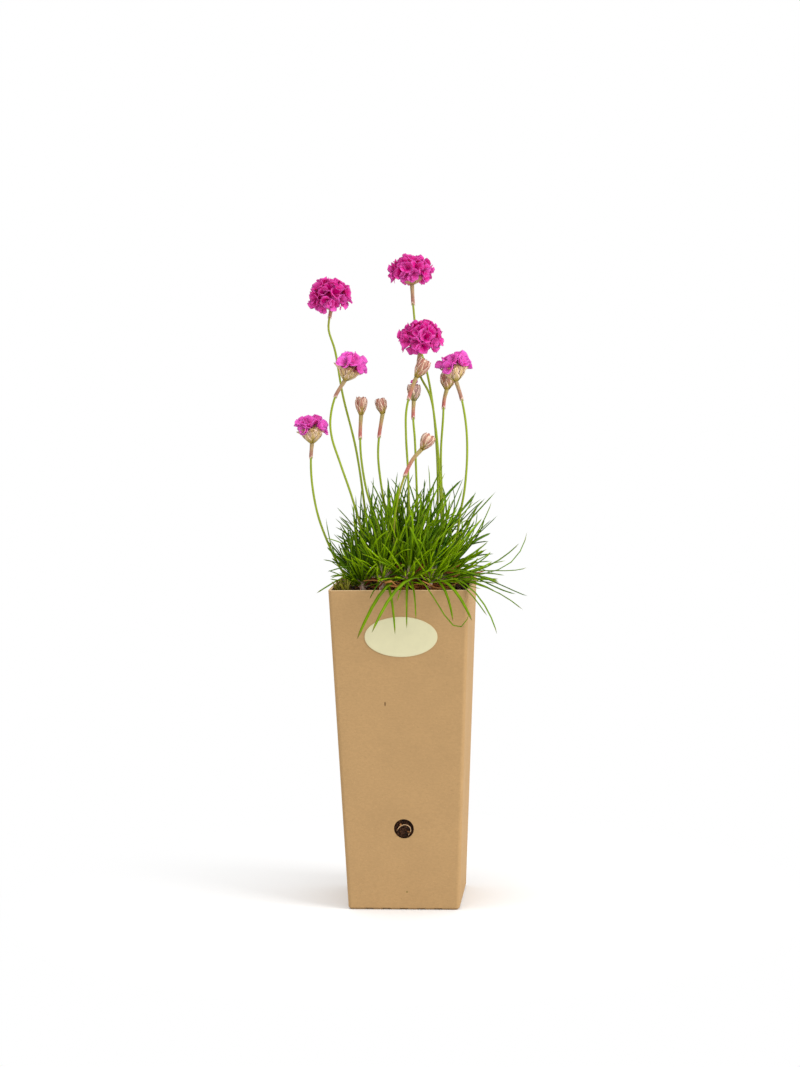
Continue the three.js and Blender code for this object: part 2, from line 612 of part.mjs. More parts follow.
const finish = (color, roughness) => new THREE.MeshStandardMaterial({ color, roughness, metalness: 0 });
const MATERIALS = {
  carton: finish(0xc09a68, 0.85),
  sticker: finish(0xe8e2c0, 0.5),
  soil: finish(0x33221a, 0.95),
  leaf: finish(0x3f7a1c, 0.55),
  stalk: finish(0x86a52a, 0.5),
  papery: finish(0xb08a68, 0.7),
  petal: finish(0xd62a9c, 0.6),
};

const crowns = rosetteSpots().map(crownOf).map((crown) => ({
  ...crown,
  samples: [0, 0.5, 1].map((t) => crown.foot.clone().lerp(crown.top, t)),
}));
const stalkSamples = FLOWERS.flatMap((flower) => {
  const curve = middleLine(flower);
  return curve.getSpacedPoints(Math.round(curve.getLength() / LEAF.sampleStep));
});
const leaves = growLeaves(crowns, stalkSamples);

// Every stalk and crown stands in a plain hole of the soil, a clearance wider than itself.
const rootHoles = [
  ...FLOWERS.map((flower) => stalkSolid(flower, STALK.radius + CLEARANCE)),
  ...crowns.map(({ foot, axis, top }) => {
    const below = foot.clone().addScaledVector(axis, -CLEARANCE);
    return peg(below, top, CROWN.radius + CLEARANCE, CROWN.radius + CLEARANCE, CROWN.sides);
  }),
];

addNode("carton_pot", cartonPot(), MATERIALS.carton);
addNode("sticker", sticker(), MATERIALS.sticker);
addNode("soil", largestBody(soilBlock().subtract(joined(rootHoles))), MATERIALS.soil);
crowns.forEach((crown, i) => {
  const own = leaves.filter((leaf) => leaf.rosette === i);
  addNode(`rosette_${String(i + 1).padStart(2, "0")}`, rosetteSolid(crown, own), MATERIALS.leaf);
});
for (const flower of FLOWERS) {
  addNode(`stalk_${flower.name}`, stalkSolid(flower), MATERIALS.stalk);
  addNode(`calyx_${flower.name}`, calyxSolid(flower), MATERIALS.papery);
  if (DOMES[flower.kind]) addNode(`petals_${flower.name}`, petalsSolid(flower), MATERIALS.petal);
}

export default part;
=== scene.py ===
import math

import bpy
import numpy as np
from bpy.props import FloatProperty, FloatVectorProperty, IntProperty, PointerProperty
from mathutils import Matrix, Vector


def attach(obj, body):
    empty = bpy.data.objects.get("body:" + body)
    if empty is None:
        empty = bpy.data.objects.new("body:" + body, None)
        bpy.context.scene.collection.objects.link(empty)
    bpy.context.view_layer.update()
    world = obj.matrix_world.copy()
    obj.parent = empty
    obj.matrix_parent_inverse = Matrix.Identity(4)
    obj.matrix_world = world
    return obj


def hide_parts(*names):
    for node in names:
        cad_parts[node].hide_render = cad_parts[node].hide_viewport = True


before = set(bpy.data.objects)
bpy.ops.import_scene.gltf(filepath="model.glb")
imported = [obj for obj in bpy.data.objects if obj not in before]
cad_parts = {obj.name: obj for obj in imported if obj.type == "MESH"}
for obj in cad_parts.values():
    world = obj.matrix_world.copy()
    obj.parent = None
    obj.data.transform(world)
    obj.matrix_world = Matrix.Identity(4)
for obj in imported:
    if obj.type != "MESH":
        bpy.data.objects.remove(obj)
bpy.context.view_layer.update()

bl_info = {
    "name": "Potted Sea Thrift",
    "version": (1, 0, 0),
    "blender": (4, 5, 0),
    "location": "3D View > Sidebar > Sea Thrift",
    "description": "Builds a sea thrift in flower in a tall carton pot, piece by piece",
    "category": "Add Mesh",
}

# Lengths below are in millimetres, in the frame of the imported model, and MM turns them into metres.
MM = 0.001
GOLDEN_ANGLE = math.pi * (3 - math.sqrt(5))

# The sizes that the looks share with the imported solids.
POT_TOP, POT_BASE, POT_HEIGHT, BOARD, POT_FLOOR = 86.0, 69.0, 200.0, 1.5, 3.0
CLEARANCE = 0.3
HOLE_X, HOLE_Z, HOLE_RADIUS = 0.9, 51.3, 6.2
STICKER_X, STICKER_Z, STICKER_HALF_WIDTH, STICKER_HALF_HEIGHT = 1.2, 171.3, 22.3, 12.4
SOIL_BELOW_RIM, SOIL_HEAP, SOIL_CORNER = 5.5, 4.5, 2.0
CROWN_RADIUS, CROWN_NECK, CROWN_SUNK, CROWN_LEAF_ZONE, CROWN_LEAN = 2.3, 1.7, 5.0, 4.0, 0.5
CROWN_ABOVE, CROWN_ABOVE_IN_FRONT = 7.0, 12.0
LEAN_FROM = (-15.0, 5.0)
LEAF_SAMPLE_STEP, LEAF_ROOT_SAMPLES, LEAF_CROWDED_SAMPLES, LEAF_SEED = 2.2, 2, 8, 2026
LEAF_INNER_SPREAD, LEAF_OUTER_SPREAD, LEAF_SPREAD_DRAW, LEAF_TURN_DRAW = 0.06, 1.12, 0.36, 1.6
LEAF_LOWEST_CURL, LEAF_HIGHEST_CURL, LEAF_SWAY_DRAW, LEAF_LENGTH_DRAW = -0.62, 0.5, 0.5, 14.0
LEAF_ROOM = ((-50.0, 82.0), (-84.0, 76.0), 281.0)
BARE_CORNER = (-14.0, -30.0, 205.0)
CUSHION_MIDDLE, CUSHION_RADII, CUSHION_RAGGED, CUSHION_CUT_STEP = (9.0, 0.0), (61.0, 57.0, 74.0), 0.22, 0.05
FRONTING = 0.45
# Leaves that reach out of the cushion: the rosette, the tip, and how far the leaf rises over a straight line.
REACHING_LEAVES = (
    (1, (-21.5, -63, 174), 46), (2, (-13.5, -75, 176), 56), (0, (0.5, -57, 175), 41.5),
    (1, (5.5, -56, 178), 37), (1, (13, -54, 184), 31), (2, (36, -57, 184), 31), (2, (45, -60, 186), 30),
    (2, (77, -30, 226), -20), (2, (78, -40, 188), 25),
)
# Single leaves that stray far out. Each has its rosette, the way it sets out, its bend along Y and Z by the
# square of the way, and its hook by the fourth power.
STRAY_LEAVES = (
    (1, (39.5, -62, 34), (31, -140), (0, 0, 90)), (2, (70, 20, 8), (4, -10), (-12, 0, 29)),
    (2, (59, 4, 30), (-4, -55), (0, 0, 15)), (2, (48, -22, 25), (4, -62), (-7, 0, 6)),
    (2, (37, -20, 26), (4, -58), (-2, 0, 12)), (2, (62, 10, 26), (2, -34), (-4, 2, 14)),
    (2, (50, -8, 34), (2, -62), (2, 0, 20)), (1, (58, -8, 34), (0, -44), (-2, 4, 8)),
    (0, (-44, 18, 6), (3, -4), (7.5, 0, 34)), (0, (-42, 14, 22), (-3, -40), (0, 0, 8)),
    (0, (-30, 4, 30), (0, -30), (-4, 0, 4)), (1, (-26, -24, 26), (8, -46), (4, 0, 10)),
)
HOOK_OF_GROWN_LEAVES, HOOK_OF_FINER_LEAVES = 0.14, 0.36
THATCH_PER_ROSETTE = (10, 26, 30)
LEAVES_PER_ROSETTE, DRAWS_PER_LEAF = 12, 70
SPIRAL_COUNT, SPIRAL_RADIUS, SPIRAL_START, SPIRAL_APART, SPIRAL_OFF_STALKS = 15, 33.5, 4.1, 9.0, 4.8
FRONT_ROSETTES = ((-11.0, -29.0), (3.5, -31.0), (16.0, -29.5))
APART = {"other": 2.65, "same": 1.7, "stalk": 2.9, "crown": 3.9, "board": 1.3, "soil": 1.2}
APART_FINE = {"other": 1.25, "same": 1.0, "stalk": 1.9, "crown": 2.9, "board": 1.0, "soil": 0.8}
SHEATH_TOP, SHEATH_BOTTOM = 1.25, 1.05
# The longest and shortest leaf of a rosette, before they are drawn and cut.
LEAF_LENGTHS, FINE_LEAF_LENGTHS = (82.0, 58.0), (80.0, 40.0)
SAMPLES_AT_MOST = 60000
SEEDS = {"fine": 77, "withered": 505, "thatch": 88, "blades": 61, "soil": 31, "calyces": 700, "petals": 900}
UP, NO_HOOK = np.array((0.0, 0.0, 1.0)), np.zeros(3)

# The outline of each kind of cup: shares of its length and of half its width.
CUPS = {
    "full": {"width": 13.5, "length": 5.5, "profile": ((0.25, 0.6), (0.6, 0.9), (1, 1))},
    "half": {"width": 13.4, "length": 9.2, "profile": ((0.15, 0.42), (0.45, 0.8), (0.75, 0.95), (1, 1))},
    "bud": {"profile": ((0.14, 0.52), (0.38, 0.86), (0.65, 1), (0.88, 0.92), (1, 0.76))},
    "opening": {"profile": ((0.14, 0.56), (0.38, 0.88), (0.65, 1), (0.85, 0.95), (1, 0.84))},
}
# The domes that carry florets: radius, polar reach, flattening, and rise of the middle in lengths of the cup.
DOMES = {
    "full": {"dome": 13.2, "reach": 2.15, "squash": 0.74, "rise": 1.45},
    "half": {"dome": 10.4, "reach": 1.3, "squash": 0.66, "rise": 0.82},
    "opening": {"dome": 5.6, "reach": 0.5, "squash": 1.0, "rise": 0.85},
}
# Heads that are flatter than others of their kind, with the share of the height that they keep.
FLATTER_HEADS = {"tall_mid": 0.78}

# Each flower: kind, length of sheath, direction that the head faces, size of a bud, and points of its stalk.
FLOWERS = {
    "tall_left": ("full", 5, (-0.06, -0.30, 1), None, (
        (-19, 12, 196), (-23.5, 12, 232), (-30, 12, 282), (-38, 12, 317), (-42.4, 12, 344.5),
        (-46.2, 12, 358), (-44.4, 12, 370))),
    "tall_mid": ("full", 12, (-0.02, 0.05, 1), None, (
        (17, 22, 196), (19.5, 21, 237), (20.4, 20, 262), (18.5, 20, 303), (14.4, 20, 330),
        (8.4, 20, 352), (6.4, 20, 370), (5.7, 20, 384.5))),
    "full_mid": ("full", 9, (0.05, -0.22, 1), None, (
        (25, 7, 196), (23.4, 6, 238), (22.4, 4, 273), (20.8, 2.8, 295), (17.6, 1.6, 316),
        (11.6, 0.8, 328.5), (10.6, 0.4, 336), (11.8, 0, 343))),
    "half_left": ("half", 12, (0.42, -0.12, 1), None, (
        (-19, -8, 196), (-24, -7.5, 227), (-31, -8, 254), (-38.2, -8.5, 276), (-42.8, -9, 291),
        (-43.6, -9.3, 302), (-40.4, -9.7, 316), (-34, -10, 326.6))),
    "low_left": ("half", 9, (0.0, -0.08, 1), None, (
        (-30, -3, 196), (-39.4, -4, 209.5), (-48.2, -4.7, 229), (-53.3, -5, 245), (-56.2, -5.5, 264),
        (-56.5, -5.8, 278), (-55.6, -6, 287.8))),
    "half_right": ("half", 12, (-0.12, -0.12, 1), None, (
        (31, -1, 196), (34.8, -3, 238), (38.6, -4, 258), (40.5, -4.5, 280), (40, -5, 298),
        (37.6, -5.6, 313.5), (34.2, -6, 325.2))),
    "bud_left": ("bud", 15, (0.02, 0, 1), (7.0, 10.4), (
        (-12, 2, 196), (-17.6, 1.2, 238), (-23.1, 1, 259), (-25.9, 0.5, 279), (-26.2, 0.3, 292),
        (-25.4, 0, 305))),
    "bud_mid": ("bud", 15, (-0.16, 0, 1), (6.6, 9.2), (
        (-5, 9, 196), (-10.6, 7, 238), (-14.4, 5, 264), (-15.6, 4.5, 279), (-14.8, 4.3, 291),
        (-12.3, 4, 305.3))),
    "bud_tuft": ("bud", 15, (0.62, 0, 1), (8.0, 11.4), (
        (5, -6, 196), (4.4, -7.5, 240), (4, -8.5, 271), (3.2, -9.7, 292), (3.6, -10.6, 307),
        (6.2, -11.4, 318), (10.4, -12, 328.4))),
    "bud_purple": ("opening", 11, (0.04, 0, 1), (8.0, 9.6), (
        (9, 5, 196), (8.8, 2.5, 239), (8.3, 1, 270), (7.8, 0, 290), (7, -0.6, 303), (7.6, -1, 313.4))),
    "bud_right": ("bud", 12, (0.10, 0, 1), (9.0, 10.4), (
        (26, 15, 196), (24.2, 12, 238), (23.2, 10.5, 266), (23.4, 9.4, 283), (24.9, 8.4, 301),
        (25.8, 7.8, 313), (27.6, 7.4, 319.8))),
    "bud_front": ("bud", 20, (0.66, -0.1, 1), (8.0, 9.6), (
        (0, -22, 196), (-2.6, -24.5, 219), (-3.7, -24.5, 236), (-1.6, -24, 252), (2.8, -23.2, 267),
        (8, -22.4, 277.8), (14, -22, 284.6))),
}


class SeededDraw:
    """A repeatable draw of numbers from 0 to 1: the minimal standard generator that the solids use too."""

    def __init__(self, seed):
        self.state = seed

    def __call__(self):
        self.state = self.state * 16807 % 2147483647
        return self.state / 2147483647


class MiddleLine:
    """A centripetal Catmull-Rom curve through points, read by the share of its length."""

    DIVISIONS = 200

    def __init__(self, points):
        self.points = np.array(points, float)
        self.shares = np.linspace(0, 1, self.DIVISIONS + 1)
        steps = np.linalg.norm(np.diff(self.at(self.shares), axis=0), axis=1)
        self.lengths = np.concatenate([[0], np.cumsum(steps)])
        self.length = self.lengths[-1]

    def at(self, t):
        """Points at curve parameters t from 0 to 1, one span of the curve for each pair of its points."""
        p = self.points
        place = (len(p) - 1) * np.asarray(t, float)
        span = np.minimum(np.floor(place).astype(int), len(p) - 2)
        weight = (place - span)[:, None]
        padded = np.vstack([2 * p[0] - p[1], p, 2 * p[-1] - p[-2]])
        a, b, c, d = (padded[span + k] for k in range(4))
        gaps = [np.sum((y - x) ** 2, axis=1, keepdims=True) ** 0.25 for x, y in ((a, b), (b, c), (c, d))]
        g0, g1, g2 = gaps
        start = ((b - a) / g0 - (c - a) / (g0 + g1) + (c - b) / g1) * g1
        end = ((c - b) / g1 - (d - b) / (g1 + g2) + (d - c) / g2) * g1
        square = -3 * b + 3 * c - 2 * start - end
        cube = 2 * b - 2 * c + start + end
        return b + weight * (start + weight * (square + weight * cube))

    def parameter(self, u):
        return np.interp(np.atleast_1d(u) * self.length, self.lengths, self.shares)

    def point(self, u):
        return self.at(self.parameter(u))

    def tangent(self, u):
        t = self.parameter(u)
        return unit(self.at(np.minimum(t + 1e-4, 1)) - self.at(np.maximum(t - 1e-4, 0)))


def unit(v):
    return v / np.linalg.norm(v, axis=-1, keepdims=True)


def mix(a, b, t):
    return a + (b - a) * t


def full_turn(count):
    """Even angles round a circle."""
    return 2 * math.pi * np.arange(count) / count


def smooth_step(low, high, x):
    """Rises from 0 at low to 1 at high, level at both ends."""
    t = np.clip((x - low) / (high - low), 0, 1)
    return t * t * (3 - 2 * t)


def pot_width(z):
    return mix(POT_BASE, POT_TOP, z / POT_HEIGHT)


def soil_height(x, y):
    """The soil's mean height: a low heap that falls with the square of the way from the middle."""
    away = np.minimum(1, np.hypot(x, y) / (POT_TOP / 2))
    return POT_HEIGHT - SOIL_BELOW_RIM + SOIL_HEAP * (1 - away * away)


def waves(points, scale, seed, octaves=4):
    """Smooth noise near -1 to 1: sums of sines along seeded directions, finer and weaker by octave."""
    draw = np.random.default_rng(seed)
    total, weight = 0.0, 0.0
    for octave in range(octaves):
        for _ in range(4):
            direction = unit(draw.normal(size=3)) * scale * 2.0 ** octave
            phase = draw.uniform(0, 2 * math.pi)
            total = total + np.sin(points @ direction + phase) * 0.6 ** octave
            weight += 0.6 ** octave
    return total * 1.8 / weight


def turned_frames(along):
    """Two unit vectors square to each direction, by crossing it with +Y as the solids do."""
    across = unit(np.cross((0.0, 1.0, 0.0), along))
    return across, np.cross(along, across)


def outwards(angle, across, beside):
    """Directions at angles round an axis, from the two vectors square to it."""
    return np.cos(angle)[..., None] * across + np.sin(angle)[..., None] * beside


def ball(rings, columns):
    """Points on a unit ball, R by C by 3, without its poles."""
    polar, angle = np.linspace(0, math.pi, rings + 2)[1:-1, None], full_turn(columns)
    ring = np.sin(polar)
    return np.stack([ring * np.cos(angle), ring * np.sin(angle), np.cos(polar) + 0 * angle], axis=-1)


class Body:
    """Gathers closed skins, their point values and their material numbers into one mesh."""

    def __init__(self):
        self.points, self.faces, self.numbers, self.values, self.count = [], [], [], {}, 0

    def skins(self, rings, first, last, number=0, **values):
        """Adds closed skins over stacks of rings, N by R by C points, with a pole at each end of a stack.

        Values are given for the rings, as anything that spreads to N by R by C, and the poles take the mean
        of the ring beside them. A skin that faces inwards is turned round.
        """
        n, r, c, _ = rings.shape
        per = r * c + 2
        points = np.concatenate([first[:, None], rings.reshape(n, r * c, 3), last[:, None]], axis=1)
        i = np.arange(c)
        j = (i + 1) % c
        low = 1 + c * np.arange(r - 1)[:, None]
        quads = np.stack([low + i, low + j, low + c + j, low + c + i], axis=-1).reshape(-1, 4)
        top = 1 + (r - 1) * c
        fans = np.concatenate([
            np.stack([0 * i, j + 1, i + 1], axis=-1), np.stack([0 * i + per - 1, top + i, top + j], axis=-1)])
        corners = np.concatenate([quads[:, :3], quads[:, [0, 2, 3]], fans])
        a, b, d = (points[0][corners[:, k]] for k in range(3))
        if np.sum(a * np.cross(b, d)) < 0:
            quads, fans = quads[:, ::-1], fans[:, ::-1]
        start = self.count + per * np.arange(n)[:, None, None]
        for faces in (quads, fans):
            group = (faces[None] + start).reshape(-1, faces.shape[1])
            self.faces += group.tolist()
            self.numbers.append(np.full(len(group), number))
        self.points.append(points.reshape(-1, 3))
        for key, value in values.items():
            spread = np.broadcast_to(np.asarray(value, float), (n, r, c))
            ends = (spread[:, :1].mean(axis=2), spread[:, -1:].mean(axis=2))
            whole = np.concatenate([ends[0], spread.reshape(n, r * c), ends[1]], axis=1)
            self.values.setdefault(key, []).append((self.count, whole.ravel()))
        self.count += n * per

    def piece(self, node, slot, *materials):
        """Makes the mesh object in metres, hands it its materials and values, and ties it to the frame."""
        mesh = bpy.data.meshes.new(f"fine_{node}")
        mesh.from_pydata((np.concatenate(self.points) * MM).tolist(), [], self.faces)
        mesh.polygons.foreach_set("material_index", np.concatenate(self.numbers).astype(np.int32))
        mesh.polygons.foreach_set("use_smooth", np.ones(len(self.faces), bool))
        for key, groups in self.values.items():
            data = np.zeros(self.count, np.float32)
            for start, group in groups:
                data[start:start + len(group)] = group
            mesh.attributes.new(key, "FLOAT", "POINT").data.foreach_set("value", data)
        mesh.update()
        piece = bpy.data.objects.new(f"fine_{node}", mesh)
        bpy.context.scene.collection.objects.link(piece)
        for material in materials:
            mesh.materials.append(material)
        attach(piece, "root")
        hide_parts(node)


class Shader:
    """Builds one node material with short calls. Texture scales are per millimetre."""

    def __init__(self, name):
        self.material = bpy.data.materials.get(name) or bpy.data.materials.new(name)
        self.material.use_nodes = True
        self.tree = self.material.node_tree
        self.tree.nodes.clear()
        self.output = self.node("OutputMaterial")
        coordinates = self.node("TexCoord").outputs["Object"]
        self.place = self.node("VectorMath", {0: coordinates, "Scale": 1 / MM}, operation="SCALE").outputs[0]

    def feed(self, socket, value):
        """Links a socket to another, or sets its value. Colours are opaque."""
        if isinstance(value, bpy.types.NodeSocket):
            self.tree.links.new(value, socket)
        else:
            socket.default_value = (*value, 1.0) if socket.type == "RGBA" else value

    def node(self, kind, inputs=(), **settings):
        node = self.tree.nodes.new("ShaderNode" + kind)
        for key, value in settings.items():
            setattr(node, key, value)
        for key, value in dict(inputs).items():
            self.feed(node.inputs[key], value)
        return node

    def value(self, name):
        return self.node("Attribute", attribute_name=name).outputs["Fac"]

    def looks(self):
        """The values that most pieces carry: the way along, the way across, and a tone of their own."""
        return [self.value(name) for name in ("along", "across", "tone")]

    def noise(self, scale, detail=3.0, stretch=(1.0, 1.0, 1.0), roughness=0.55):
        place = self.node("VectorMath", {0: self.place, 1: stretch}, operation="MULTIPLY").outputs[0]
        inputs = {"Vector": place, "Scale": scale, "Detail": detail, "Roughness": roughness}
        return self.node("TexNoise", inputs).outputs["Fac"]

    def cells(self, scale):
        return self.node("TexVoronoi", {"Vector": self.place, "Scale": scale}).outputs["Distance"]

    def maths(self, operation, a, b):
        return self.node("Math", {0: a, 1: b}, operation=operation).outputs[0]

    def band(self, x, low, high):
        """0 below low, 1 above high, and smooth between. With high under low it falls instead."""
        inputs = {"Value": x, "From Min": low, "From Max": high}
        return self.node("MapRange", inputs, interpolation_type="SMOOTHSTEP").outputs[0]

    def blend(self, share, a, b):
        return self.node("Mix", {0: share, 6: a, 7: b}, data_type="RGBA", blend_type="MIX").outputs[2]

    def coat(self, base, colour, mask, share=None):
        """Lays a colour over the base where the mask is 1, or only a share of it."""
        return self.blend(mask if share is None else self.maths("MULTIPLY", mask, share), base, colour)

    def ramp(self, x, *stops):
        node = self.node("ValToRGB", {0: x})
        elements = node.color_ramp.elements
        elements.remove(elements[1])
        for k, (place, colour) in enumerate(stops):
            element = elements.new(place) if k else elements[0]
            element.position = place
            element.color = (*colour, 1.0)
        return node.outputs[0]

    def finish(self, colour, roughness, height, depth, sheer=0.0, specular=0.5):
        """Closes the material: a Principled surface, a bump depth in millimetres, and part light let through."""
        bump = self.node("Bump", {"Height": height, "Distance": depth * MM, "Strength": 1.0}).outputs[0]
        inputs = {
            "Base Color": colour, "Roughness": roughness, "Specular IOR Level": specular, "Normal": bump}
        surface = self.node("BsdfPrincipled", inputs).outputs[0]
        if sheer:
            through = self.node("BsdfTranslucent", {"Color": colour}).outputs[0]
            surface = self.node("MixShader", {0: sheer, 1: surface, 2: through}).outputs[0]
        self.tree.links.new(surface, self.output.inputs["Surface"])
        return self.material


def srgb(red, green, blue):
    """Linear colour of a screen colour given from 0 to 255."""
    return tuple(((c / 255 + 0.055) / 1.055) ** 2.4 if c > 10 else c / 3294.6 for c in (red, green, blue))


def shade(colour, *factors):
    """A colour times one factor, or times a factor for each channel."""
    return tuple(c * k for c, k in zip(colour, factors * (3 // len(factors))))


def between(a, b, t):
    """A colour a share of the way from one to another."""
    return tuple(mix(x, y, t) for x, y in zip(a, b))


def crowns_of_rosettes():
    """Foot, top and axis of each crown: three at the front, then a sunflower spiral between the stalks."""
    spots = list(FRONT_ROSETTES)
    roots = [flower[4][0][:2] for flower in FLOWERS.values()]
    for i in range(SPIRAL_COUNT):
        angle = SPIRAL_START + i * GOLDEN_ANGLE
        reach = SPIRAL_RADIUS * math.sqrt((i + 0.5) / SPIRAL_COUNT)
        spot = (reach * math.cos(angle), reach * math.sin(angle))
        if all(math.dist(other, spot) > SPIRAL_APART for other in spots) and all(
                math.dist(root, spot) > SPIRAL_OFF_STALKS for root in roots):
            spots.append(spot)
    lean = CROWN_LEAN / (POT_TOP / 2)
    crowns = []
    for k, (x, y) in enumerate(spots):
        in_front = k < len(FRONT_ROSETTES)
        axis = unit(np.array((lean * (x - LEAN_FROM[0]), lean * (y - LEAN_FROM[1]), 1.0)))
        ground = np.array((x, y, soil_height(x, y)))
        above = CROWN_ABOVE_IN_FRONT if in_front else CROWN_ABOVE
        foot, top = ground - CROWN_SUNK * axis, ground + above * axis
        samples = [mix(foot, top, t) for t in (0, 0.5, 1)]
        crowns.append({"axis": axis, "foot": foot, "top": top, "samples": samples, "in_front": in_front})
    return crowns


def leaf_points(leaf, t):
    """A leaf's middle line: straight on, plus curl and sway by the square of t, and a hook by t to the fourth."""
    t = np.asarray(t, float)[:, None]
    bend = leaf["curl"] * UP + leaf["sway"] * leaf["side"]
    hook = leaf.get("hook", NO_HOOK)
    return leaf["root"] + leaf["length"] * (t * leaf["direction"] + t * t * bend + t ** 4 * hook)


def drawn_leaf(crown, order, draw, longest, shortest):
    """One draw of a leaf: the first of a rosette stand nearly along its axis, the last spread wide."""
    share = (order + 0.5) / LEAVES_PER_ROSETTE
    spread = mix(LEAF_INNER_SPREAD, LEAF_OUTER_SPREAD, math.sqrt(share)) + LEAF_SPREAD_DRAW * (draw() - 0.5)
    turn = order * GOLDEN_ANGLE + LEAF_TURN_DRAW * (draw() - 0.5)
    axis = crown["axis"]
    across, beside = turned_frames(axis)
    outward = across * math.cos(turn) + beside * math.sin(turn)
    if crown["in_front"] and outward[1] < -FRONTING:
        outward = unit(outward * (1, -1, 1))
    leaf = {
        "root": crown["top"] - axis * CROWN_LEAF_ZONE * share,
        "direction": axis * math.cos(spread) + outward * math.sin(spread),
        "side": unit(np.cross(axis, outward)),
        "length": mix(longest, shortest, share) + LEAF_LENGTH_DRAW * (draw() - 0.5),
        "curl": mix(LEAF_LOWEST_CURL, LEAF_HIGHEST_CURL, draw()) * math.sin(spread),
        "sway": LEAF_SWAY_DRAW * (draw() - 0.5),
    }
    return trimmed_leaf(leaf, draw())


def trimmed_leaf(leaf, ragged):
    """A leaf cut back until its tip lies in the cushion, and then by a ragged share more."""
    keep = 1.0
    while keep > CUSHION_CUT_STEP and not in_cushion(leaf_points(leaf, [keep])[0]):
        keep -= CUSHION_CUT_STEP
    keep *= 1 - CUSHION_RAGGED * ragged
    return {**leaf, **{key: leaf[key] * keep for key in ("length", "curl", "sway")}}


def in_cushion(point):
    """Whether a point lies in the half dome that the drawn leaves fill."""
    x, y, z = point
    way = np.array((x - CUSHION_MIDDLE[0], y - CUSHION_MIDDLE[1], max(0.0, z - POT_HEIGHT))) / CUSHION_RADII
    return way @ way < 1


def reaching_leaf(crowns, rosette, tip, rise):
    """A leaf from the top of its crown to a given tip, along a parabola that first rises and then falls."""
    crown = crowns[rosette]
    root = crown["top"] - CROWN_LEAF_ZONE / 2 * crown["axis"]
    way = np.array(tip) - root + (0, 0, rise)
    length = float(np.linalg.norm(way))
    return {"root": root, "direction": way / length, "side": unit(np.cross(UP, way)), "length": length,
            "curl": -rise / length, "sway": 0.0, "rosette": rosette}


def stray_leaf(crowns, rosette, ahead, bend, hook):
    """A leaf from the top of its crown whose way, bend and hook are given in millimetres."""
    crown = crowns[rosette]
    length = float(np.linalg.norm(ahead))
    return {"root": crown["top"] - CROWN_LEAF_ZONE / 2 * crown["axis"], "direction": np.array(ahead) / length,
            "side": np.array((0.0, 1.0, 0.0)), "length": length, "sway": bend[0] / length,
            "curl": bend[1] / length, "hook": np.array(hook) / length, "rosette": rosette}


def seeded_hook(draw, reach):
    """A small push in any direction."""
    return reach * np.array((draw() - 0.5, draw() - 0.5, draw() - 0.5))


def far_from(points, others, distance):
    """Whether no point lies nearer than the distance to any of the others. Only those near are measured."""
    others = np.reshape(others, (-1, 3))
    if not len(points):
        return True
    low, high = points.min(axis=0) - distance, points.max(axis=0) + distance
    others = others[np.all((others > low) & (others < high), axis=1)]
    if not len(others):
        return True
    gaps = points[:, None, :] - others[None]
    return float(np.min(np.einsum("ijk,ijk->ij", gaps, gaps))) >= distance * distance


def leaf_is_clear(samples, rosette, grown, stalks, crowns, apart):
    """Whether a leaf keeps in its room and off the board, soil, stalks, other crowns and grown leaves."""
    x, y, z = samples.T
    (left, right), (front, back), top = LEAF_ROOM
    if x.min() < left or x.max() > right or y.min() < front or y.max() > back or z.max() > top:
        return False
    wall = pot_width(np.minimum(z, POT_HEIGHT)) / 2
    out = np.maximum(np.abs(x), np.abs(y))
    inside = out < wall - BOARD - apart["board"]
    if np.any((z < POT_HEIGHT + apart["board"]) & ~inside & (out < wall + apart["board"])):
        return False
    corner_x, corner_y, corner_z = BARE_CORNER
    if np.any((x < corner_x) & (y < corner_y) & (z < corner_z)):
        return False
    beyond_root = np.arange(len(samples)) > LEAF_ROOT_SAMPLES
    if np.any(inside & beyond_root & (z < soil_height(x, y) + apart["soil"])):
        return False
    others = [p for k, crown in enumerate(crowns) if k != rosette for p in crown["samples"]]
    if not far_from(samples, stalks, apart["stalk"]) or not far_from(samples, others, apart["crown"]):
        return False
    near, own = grown["points"][:grown["count"]], grown["owner"][:grown["count"]]
    free = samples[LEAF_CROWDED_SAMPLES + 1:]
    return (far_from(samples, near[own != rosette], apart["other"])
            and far_from(free, near[own == rosette], apart["same"]))


def leaf_samples(leaf):
    return leaf_points(leaf, np.linspace(0, 1, round_half_up(leaf["length"] / LEAF_SAMPLE_STEP) + 1))


def keep_grown(grown, samples, rosette):
    """Adds a leaf's samples to those that later leaves keep off."""
    start, end = grown["count"], grown["count"] + len(samples)
    grown["points"][start:end], grown["owner"][start:end], grown["count"] = samples, rosette, end


def grow_leaves(crowns, stalks, rounds, draw, grown, apart, lengths, hooked=0.0):
    """Draws leaves for all rosettes in turn and keeps each first draw that has room. Finer ones are hooked."""
    leaves = []
    for order in range(rounds):
        for rosette, crown in enumerate(crowns):
            for _ in range(DRAWS_PER_LEAF):
                leaf = drawn_leaf(crown, order % LEAVES_PER_ROSETTE, draw, *lengths)
                if hooked:
                    leaf["hook"] = seeded_hook(draw, hooked)
                samples = leaf_samples(leaf)
                if leaf_is_clear(samples, rosette, grown, stalks, crowns, apart):
                    keep_grown(grown, samples, rosette)
                    leaves.append({**leaf, "rosette": rosette})
                    break
    return leaves


def round_half_up(x):
    return int(math.floor(x + 0.5))


def new_bed(room):
    """An empty store for the samples of grown leaves and the rosettes that own them."""
    return {"points": np.zeros((room, 3)), "owner": np.zeros(room, int), "count": 0}


